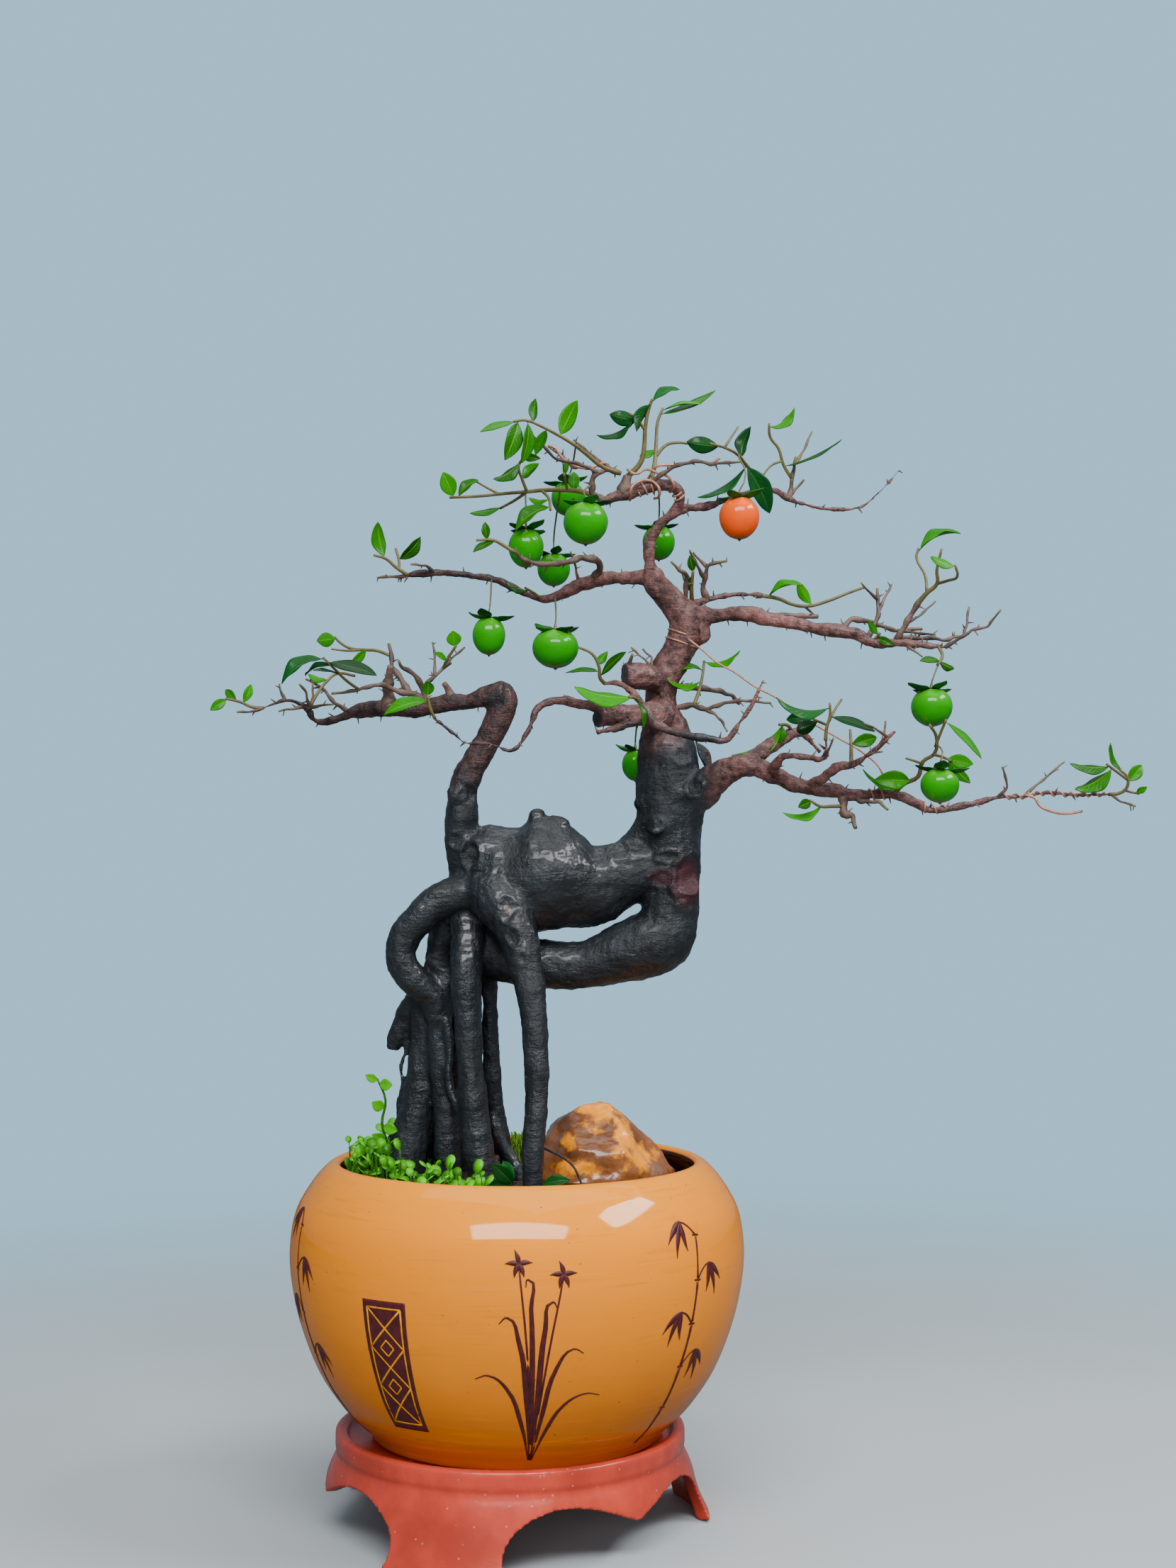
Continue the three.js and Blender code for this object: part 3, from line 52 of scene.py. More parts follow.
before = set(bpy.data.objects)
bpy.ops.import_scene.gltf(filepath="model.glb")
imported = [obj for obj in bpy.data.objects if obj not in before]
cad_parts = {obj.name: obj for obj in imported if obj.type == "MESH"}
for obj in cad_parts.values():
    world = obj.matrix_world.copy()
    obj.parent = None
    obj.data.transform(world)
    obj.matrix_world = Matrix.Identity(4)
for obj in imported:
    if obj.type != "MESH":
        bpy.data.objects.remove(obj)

import math
import random

import bpy
from bpy.props import FloatProperty, FloatVectorProperty, IntProperty, PointerProperty
from mathutils import Matrix, Vector, noise

CAD_BOX = [list(corner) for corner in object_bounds()]

# Lengths below are in millimetres, from the pot's axis and the surface that the stand rests on.
MM = 0.001
POT_AXIS = (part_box("pot")[0].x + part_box("pot")[1].x) / 2
EYE = Vector((41.4, -1260, 384))
EYE_TILT_UP = 2.08
SENSOR_WIDTH = 36
LENS = 3000 / 2212 * SENSOR_WIDTH
DEPTH_SPREAD = 1.7
LIGHTS_AIM = (-0.05, 0, 0.22)

STAND_CENTRE_X = -4
STAND_LEG_ANGLES = (-17, 103, 223)
STAND_OUTLINE = [
    (109, 0), (113, 0), (116.6, 0.9), (116.4, 3), (113.9, 8), (111.2, 14), (108.6, 22), (106.6, 30),
    (103.6, 37), (101.3, 41.6), (101.2, 43.4), (102, 45.4), (102, 49), (102, 52.6), (101.4, 54.6),
    (99, 55.2), (96.6, 54.9), (95, 53.6), (94.2, 51.4), (92.4, 50), (76, 50), (58, 50), (56.2, 49),
    (56, 46), (56.4, 43), (58, 42), (76, 42), (92, 41.6), (97, 36), (101, 24), (105.4, 10), (108.4, 1),
]
ARCH_CORNERS = [(78, -1), (78, 5), (74, 24), (60, 34), (42, 34), (26, 34), (12, 26), (0, 22)]
ARCH_STEPS = 12
ARCH_START, ARCH_DEPTH = 40, 100
LEG_HALF_PITCH = 60
FOOT_BAND, FOOT_LIFT = 0.6, 0.05
BOWL_OUTLINE = [
    (8, 50.3), (46, 50.3), (82, 50.3), (84.4, 51), (87, 55), (94, 61.8), (102.7, 70.5), (116.5, 91),
    (127.4, 119), (132.4, 143), (133.2, 161), (129.8, 181), (120.3, 197.5), (113, 205.6), (108.4, 208.7),
    (105.6, 208.6), (104, 206.6), (104.2, 204), (108.5, 200), (116.6, 187), (122.6, 166), (121.6, 136),
    (107, 92), (82, 62), (46, 62), (8, 62),
]
BOWL_OUTSIDE = slice(8, 57)
POT_FIT = 0.9965
POT_WIDEST = 133
SOIL_LEVEL = 197.5
SOIL_FALL_TO_RIGHT = 0.035
SOIL_REACH = 99
SOIL_GAP = 0.8
# The pot's inner wall beside the soil, as a height and a radius low down and high up
SOIL_WALL = ((166, 123), (200, 108.5))

PANEL_ANGLE = -31
PANEL_WIDTH, PANEL_HEIGHT, PANEL_MIDDLE = 28, 74, 112
LATTICE_EDGES = (-11, 11, 79, 145)
MOTIF_FOOT = 60

# Widths of the cells that a piece is melted into, and the thickness of its thin parts
STAND_CELL = 1.15
ROCK_CELL = 1.0
TRUNK_CELL = 1.38
LIMB_CELL = 0.85
FLAKE_THICKNESS = 1.2
BLADE_THICKNESS = 0.4
ROUND_LEAF_THICKNESS = 0.35
SEPAL_THICKNESS = 0.5
WIRE_RADIUS = 0.6
LOOSE_WIRE_RADIUS = 0.85
YOUNG_TWIG_LENGTH = 15
TWIG_SPUR_SPACING, LIMB_SPUR_SPACING = 9, 14
PLANT_SCATTER = 6.5

# The trunk's smooth bulge, as its middle and its reach in x and z
SWELL_MIDDLE = (18, 388)
SWELL_REACH = (44, 36)

# The heights and widths where the bark's and the glaze's colours change, in metres
LIMB_BARK_HEIGHT = 0.436
LIMB_BARK_SLOPE = 0.22
LIMB_BARK_RIGHT = 0.108
MOUTH_RADIUS = 0.104
MOUTH_HEIGHT = 0.206

# How many of each limb's stations the trunk's skin takes in
LIMB_ROOTS = (11, 0, 3, 7, 3, 6, 4, 0, 0, 3)


def soil_level(x):
    return SOIL_LEVEL - SOIL_FALL_TO_RIGHT * x


# Routes as x, z, radius and depth, as they look from the front in the plane through the pot's axis

TRUNK = [
    # the long bulge between the left shoulder and the upright trunk
    [(-40, 389, 9, -2), (-25, 387, 19, -2), (-2, 377, 30, 0), (15, 375.5, 34, 0), (30, 372.5, 29.5, 0),
     (42, 370, 25, 0), (56, 374, 21, 0), (72, 380, 18, 0), (88, 385, 16, 0)],
    # the lower limb that loops under it and turns up into the trunk
    [(-36, 344, 11, 4), (-20, 335, 16, 4), (0, 326, 15, 3), (20, 323, 14.3, 2), (42, 323.5, 14.3, 1),
     (60, 329, 17, 0), (74, 333.5, 19.5, 0), (84, 339.5, 20, 0), (88.5, 350, 17.5, 0), (90, 364, 17, 0),
     (90, 380, 18, 0), (90, 400, 19, 0), (90, 418, 20, 0), (89, 436, 19, 0), (88, 452, 17.5, 1),
     (87, 468, 12.5, 2)],
    # the left shoulder and the upright left limb
    [(-37, 346, 8, 0), (-30, 362, 12, -2), (-30, 380, 11.5, -3), (-33.5, 396, 10.2, -5),
     (-33, 412, 9.8, -5), (-32.5, 424, 8.7, -5), (-29, 436, 8.8, -5), (-22.5, 448, 7.6, -5),
     (-15.5, 460, 8, -5), (-11, 471, 8.2, -5), (-9, 481, 8.8, -5), (-10, 489, 5, -5)],
    # the hollow between the bulge and the upright trunk
    [(86, 412, 12, 0), (73, 396, 10, 0), (58, 384, 9, 0)],
]

ROOTS = [
    # the front root that arches out over the rest
    [(-30, 368, 13, -6), (-13, 362, 16.5, -17), (-2, 345, 13, -27), (4.5, 323, 10.3, -34),
     (8.5, 300, 8.7, -40), (10.5, 272, 7.6, -45), (11, 248, 7.3, -48), (9.5, 220, 7, -52),
     (8, 186, 6.2, -55)],
    # the left root that loops outwards and back
    [(-26, 366, 13, -9), (-42, 362.5, 11, -13), (-57, 351.5, 10, -14), (-67, 339, 9.5, -14),
     (-69, 326, 9, -14), (-62, 314.5, 9, -13), (-52, 305, 8.3, -11), (-46, 290, 7, -8)],
    [(-30, 350, 10, -8), (-30.5, 325, 9.6, -17), (-29.5, 290, 8.6, -21), (-27.5, 255, 8.2, -24),
     (-23.5, 218, 9, -28), (-19, 186, 9, -31)],
    [(-20, 332, 6, 8), (-17, 308, 5, 11), (-16, 270, 5.2, 12), (-13, 236, 5.5, 13), (-8, 215, 4.8, 14),
     (-1, 188, 3.5, 16)],
    [(-15, 236, 4.2, 12), (-10, 219, 4, 6), (-2, 206, 3.8, 0), (4, 188, 3, -4)],
    [(-46, 326, 8, 0), (-54, 296, 9, 2), (-55, 270, 9.5, 2), (-58, 245, 10, 1), (-63, 222, 11, 0),
     (-67, 186, 11, -3)],
    [(-42, 322, 8, -6), (-46, 290, 7, -6), (-45.5, 258, 6.6, -8), (-42, 235, 7.2, -9), (-41, 212, 8, -10),
     (-41, 186, 7, -10)],
    [(-43, 292, 2.6, -13), (-40, 275, 2.6, -14), (-41, 256, 2.6, -16), (-37, 242, 2.6, -19),
     (-30, 228, 2.6, -23)],
    [(-42, 352, 9, 4), (-48, 325, 7, 8), (-50, 300, 6.2, 11), (-46, 252, 6, 15), (-39, 222, 7, 20),
     (-35, 186, 6, 24)],
    [(-28, 348, 12, 10), (-33, 312, 9, 18), (-38, 275, 8, 24), (-45, 238, 8, 29), (-53, 186, 7.5, 35)],
    # a cut stub that hangs on the left, and a thin wiry root
    [(-55, 310, 6, 2), (-63, 299, 6.2, 6), (-68.5, 288, 6.2, 8), (-72, 279, 5.6, 9), (-74, 272.5, 3.6, 9)],
    [(-65, 286, 2, 7), (-66, 272, 1.5, 7), (-69, 262, 1.4, 6), (-68, 254, 1.4, 6), (-71, 240, 1.3, 5),
     (-70, 224, 1.2, 4), (-71, 192, 1.2, 3)],
]

LIMBS = [
    # the trunk's upper limb and its top
    [(87, 462, 13.5, 2), (84.5, 476, 9.3, 4), (85, 488, 9, 5), (90, 500, 9.8, 6), (96.5, 512, 9.6, 6),
     (100.5, 521, 10.6, 6), (99.5, 528.5, 10, 6), (94, 535, 8.5, 6), (88, 542, 7.6, 5), (82, 549, 7.4, 4),
     (79, 556, 6, 3)],
    [(79, 554, 5, 3), (78, 562, 3.9, 1), (77.5, 571, 3.7, 0), (81, 580, 3.4, -1), (87, 587, 3.3, -2),
     (93, 593, 3.4, -3), (96.5, 600, 3.2, -5), (93, 606.5, 3.4, -7), (86, 608, 4, -8), (76, 606.5, 4, -9),
     (67, 603.5, 3.7, -10), (59, 601.5, 3.2, -11), (51, 598, 2.5, -12)],
    # the upper left branch
    [(80, 553, 5.5, 4), (70, 552.5, 4.4, 7), (60, 552.5, 3.9, 9), (51, 552, 4.1, 11), (41, 550, 4.3, 13),
     (32, 546.5, 4, 14), (24, 542, 3.2, 15), (15, 540, 2.3, 15), (8, 541.5, 2, 16), (-2, 546, 2.2, 16),
     (-14, 551.5, 2.1, 17), (-30, 554, 2.2, 18), (-45, 555.5, 2.2, 19), (-58, 555, 2.1, 20),
     (-68, 553.5, 1.6, 20)],
    # the left low branch
    [(-8, 483, 8, -5), (-19, 481.5, 6.2, -4), (-30, 479, 4.8, -3), (-40, 478.5, 5.3, -2),
     (-50, 476.3, 5, -1), (-60, 474.5, 5.3, 0), (-77, 475, 5.4, 1), (-86, 474.3, 5, 2), (-95, 473, 4.4, 2),
     (-101, 471, 3, 2), (-109, 468.3, 2.3, 2), (-117, 466.5, 2.2, 2), (-121.5, 468, 2, 1),
     (-124, 473, 1.8, 0), (-129, 477, 1.5, 0), (-138, 479.5, 1.3, -1), (-146, 477, 1.1, -2),
     (-153, 474.2, 0.9, -3)],
    # the right upper branch
    [(99, 527, 9, 5), (109, 529.3, 6.6, 3), (116, 530, 4.9, 2), (126, 531, 4.5, 0), (137, 531, 4.9, -2),
     (149, 527.5, 4.1, -5), (160, 526, 3.7, -7), (170, 524, 3.8, -9), (180, 522, 4, -10),
     (190, 521, 4.2, -12), (200, 519, 3.8, -13), (208, 514.8, 3.2, -14), (216, 513.2, 3, -15),
     (226, 513.5, 2.6, -17), (236, 513, 2.4, -19), (246, 512, 1.9, -21), (256, 510.5, 1.4, -23)],
    # the lower right branch
    [(94, 420, 13, -2), (108, 425.5, 11.5, -5), (117, 433, 9.3, -8), (125, 438, 7.9, -10),
     (133, 440.6, 6.6, -12), (141, 440, 5.9, -13), (148, 437, 5.5, -14), (156, 433, 5.4, -15),
     (164, 429.6, 5, -16), (172, 427.6, 4.5, -16), (188, 425.6, 4.4, -15), (198, 423, 3.9, -14),
     (208, 423.5, 3.1, -13), (218, 424, 3, -12), (228, 421.8, 3, -11), (236, 418, 2.9, -10),
     (244, 414.6, 2.4, -9), (253, 415, 2, -8), (263, 416.7, 1.8, -7), (273, 419, 1.5, -5),
     (284, 422, 1.3, -3), (300, 422.5, 1.3, 0), (312, 424.5, 1.2, 2), (326, 423.4, 1.1, 4),
     (340, 423.5, 1, 6), (353, 423.5, 0.9, 8)],
    # cut stubs and the long thin branch that leaves the front one
    [(86, 471, 10, -4), (74, 471, 6.5, -12), (60, 471, 6, -19), (47, 469, 5.6, -25)],
    [(52, 472, 3.4, -24), (43, 475.8, 3, -26), (35, 477.5, 2.9, -27), (26, 479.2, 2.8, -28),
     (18, 478.3, 2.6, -29), (11, 474, 2.4, -30), (8.5, 468, 2, -31), (4, 458.5, 1.6, -32),
     (-2, 450.6, 1.5, -33), (-6, 449.5, 1.4, -33), (-13, 452.6, 1.3, -34), (-24, 454, 1.3, -35),
     (-33, 455, 1.2, -36), (-37, 458.5, 1.1, -36), (-45, 465, 1, -37), (-50, 469, 0.9, -37)],
    [(84, 468, 4, -10), (72, 467, 2.3, -18), (60, 463.5, 2.1, -24), (47, 460.5, 1.9, -30)],
    [(84, 490, 7, 0), (74, 493.5, 8, -4), (63, 494, 7.6, -6)],
]

FORKS = [
    # second right branch, above the long one
    [(99, 532, 5, 8), (104, 536, 3.4, 12), (111, 539, 2, 16), (121, 541.6, 1.8, 21), (134, 542.8, 1.4, 26),
     (145, 542, 1.3, 30)],
    # right end of the crown
    [(91, 592, 3.4, -3), (100, 594, 2.8, 0), (110, 595, 2.5, 3), (120, 597.5, 2.3, 6), (133, 602, 2, 10),
     (146, 605, 2, 14), (153, 604.3, 2.2, 17), (160, 600.5, 2.2, 19), (165, 598.5, 1.5, 21),
     (176, 595, 1.1, 25), (190, 593.5, 1, 29), (204, 595, 1, 32), (213, 602, 1.1, 34), (222, 611, 1.1, 36),
     (227, 617, 0.8, 37)],
    # upper fork of the lower right branch
    [(133, 441, 5, -12), (141, 446, 4.7, -8), (148, 451.5, 4.5, -4), (156, 456, 4.2, 0), (163, 460, 3.1, 4),
     (168, 460.5, 2.4, 7), (173, 455.5, 1.6, 10), (179, 448.5, 1.3, 12)],
    [(150, 436, 3.6, -15), (153, 442, 3, -22), (157, 446, 2.2, -26), (169, 446, 1.8, -30),
     (181, 445.5, 1.7, -33), (182.5, 457, 1.3, -34)],
    [(171, 429, 3.4, -16), (177, 431.5, 3.2, -19), (184, 436, 3, -22), (190, 440, 2.8, -25),
     (200, 442, 2.2, -29), (207, 447, 1.7, -32), (213, 451, 1.5, -34), (219, 457, 1.4, -36),
     (224, 461, 1.1, -37)],
    # front branch that drops from the upper stub and runs to the right
    [(50, 489.5, 1.6, -24), (60, 489.5, 1.8, -25), (68, 484, 2.1, -26), (74, 476, 2.4, -27),
     (80, 467.5, 2.6, -28), (90, 461.3, 2.4, -29), (100, 458.5, 2.2, -30), (112, 457, 2, -31),
     (123.5, 456, 1.9, -32), (130, 464, 1.4, -33), (137, 474, 1.2, -34), (142, 484, 0.9, -35),
     (146, 492, 0.7, -36)],
    [(78, 474, 3.4, -10), (78, 470, 3, -20), (82, 466, 2.6, -28)],
]

TWIGS = [
    ([(-77, 478), (-77.5, 490), (-76, 500)], 4, 1.8, -6),
    ([(-62, 478), (-65, 485), (-70, 493), (-75, 499), (-75.5, 508), (-77, 513)], 2.2, 1, 10),
    ([(-54, 480), (-57, 487), (-59, 491), (-63, 496), (-69, 499), (-71, 503)], 2, 0.9, -12),
    ([(-58, 479), (-62, 483), (-72, 485), (-80, 488.5), (-86, 488.5), (-96, 485.5), (-111, 483.5)], 2, 0.8,
     -9),
    ([(-100, 473), (-109, 478), (-115, 485), (-120, 489), (-126, 492)], 1.4, 0.7, 14),
    ([(-124, 473), (-122, 481), (-122, 489.5)], 1.1, 0.7, 5),
    ([(-138, 479.5), (-141, 485), (-142, 489)], 0.9, 0.6, 5),
    ([(-56, 480), (-55, 489), (-47, 496), (-44, 499), (-40, 501.5)], 1.3, 0.7, 13),
    ([(-50, 493.6), (-49.5, 505), (-51, 514)], 0.9, 0.6, 7),
    ([(-44, 499), (-38, 506), (-32, 511)], 0.8, 0.6, 9),
    ([(-151, 475), (-158, 473), (-167, 472.5)], 0.9, 0.6, -6),
    ([(-67, 553.6), (-77, 553), (-84, 552.5)], 1.1, 0.6, 2),
    ([(-50, 556), (-55, 560), (-64, 560.5)], 1.1, 0.6, -7),
    ([(45, 551), (48, 557), (47.5, 562), (43, 564.2), (37, 564.5), (30, 562), (20, 561), (10, 561),
     (4, 563), (-4, 569)], 2.4, 1.2, -34),
    ([(62, 603), (64, 609), (65, 613.5)], 4, 2.6, 0),
    ([(51, 598.5), (44, 603.5), (43.5, 610), (46, 615), (53, 617), (61, 615)], 2, 1.5, -4),
    ([(162, 601), (162.5, 607), (163.5, 614), (165.5, 625)], 1.5, 0.9, 2),
    ([(165.2, 621), (169, 627), (172, 634), (175, 640)], 0.9, 0.6, 7),
    ([(160, 600), (165, 605), (170, 611)], 1.2, 0.7, 9),
    ([(74, 607), (82, 612), (92, 619), (105, 622.5), (115, 620.5), (124, 621.5), (132, 622)], 1.5, 0.8,
     -15),
    ([(45, 613), (44, 618), (33, 619), (25, 626), (18, 631)], 1.2, 0.7, 9),
    ([(58, 616), (45, 625), (33, 635)], 1.1, 0.7, 16),
    ([(48, 617), (35, 621), (22, 624), (14, 632), (5, 641)], 1.2, 0.7, -14),
    ([(142, 530.5), (150, 530.3), (165, 529.5), (178, 529.5)], 2.2, 1.4, 9),
    ([(192, 523), (198, 528), (206, 527), (215, 524), (225, 521), (240, 522)], 1.9, 1, 11),
    ([(222, 514), (228, 517), (236, 516.5), (245, 516.5), (253, 515.5), (262, 517.5)], 1.5, 1, 14),
    ([(254, 511), (262, 516), (270, 521), (279, 523.5), (287, 533.5)], 1.2, 0.6, -6),
    ([(224, 514), (228, 521), (233, 530), (239, 539.5)], 2, 1.6, -5),
    ([(207, 516), (211, 523), (214, 531), (214, 540), (213.5, 546)], 1.5, 0.9, 9),
    ([(214, 532), (217.5, 540), (222, 548.5)], 1, 0.6, 11),
    ([(231, 525), (239, 530), (248, 538.5)], 1, 0.6, 11),
    ([(112, 539.5), (110, 546), (111, 553), (113, 560), (124, 562.5)], 2, 0.8, -8),
    ([(110, 552), (106, 560), (102, 569)], 1.2, 0.7, -12),
    ([(100, 532), (99.5, 547), (100, 554), (96, 557), (91, 562)], 1.6, 0.8, -12),
    ([(90, 488), (101, 487.2), (110, 486.5), (120, 485), (127, 482), (131, 477.5)], 2, 1, 30),
    ([(91, 476), (103, 476.5), (112, 474), (122, 478), (132, 479.5), (150, 478)], 1.8, 0.7, -17),
    ([(88, 461), (86, 474), (85, 483), (83, 493), (77, 502), (67, 511)], 1.2, 0.6, -6),
    ([(64, 494), (66, 501), (68, 507)], 2, 0.9, -4),
    ([(216, 454), (217.5, 461), (218, 467)], 1, 0.6, 6),
    ([(206, 446), (211, 448.5), (216, 449)], 1, 0.6, -8),
    ([(193, 425), (193, 412), (198, 410.5), (200, 403.5)], 2.8, 1.2, -7),
    ([(200, 423), (203, 419.5), (214, 419), (219, 414.5)], 1.5, 0.8, -10),
    ([(300, 423), (306, 428), (313, 433.5), (324, 443)], 1, 0.6, 8),
    ([(351, 423.5), (357, 419.5), (366, 416.5)], 0.8, 0.6, -5),
]

KNOTS = [
    # where limbs were cut or bark has swollen
    [(-30, 424, 6, -10), (-41, 422, 5.5, -12)],
    [(22, 402, 7, -8), (26, 410, 3.5, -9)],
    [(10, 405, 6, -6), (12, 413, 3, -8)],
    [(76, 416, 6, -4), (71.5, 420, 3.4, -6)],
    [(88, 404, 7, -14), (79, 405, 4, -19)],
    [(96, 424, 8, -14), (104, 425, 4, -19)],
    [(97, 366, 11, -8), (100, 371, 8.5, -15)],
    [(108, 519, 7, 3), (114, 519.5, 3.5, 2)],
]

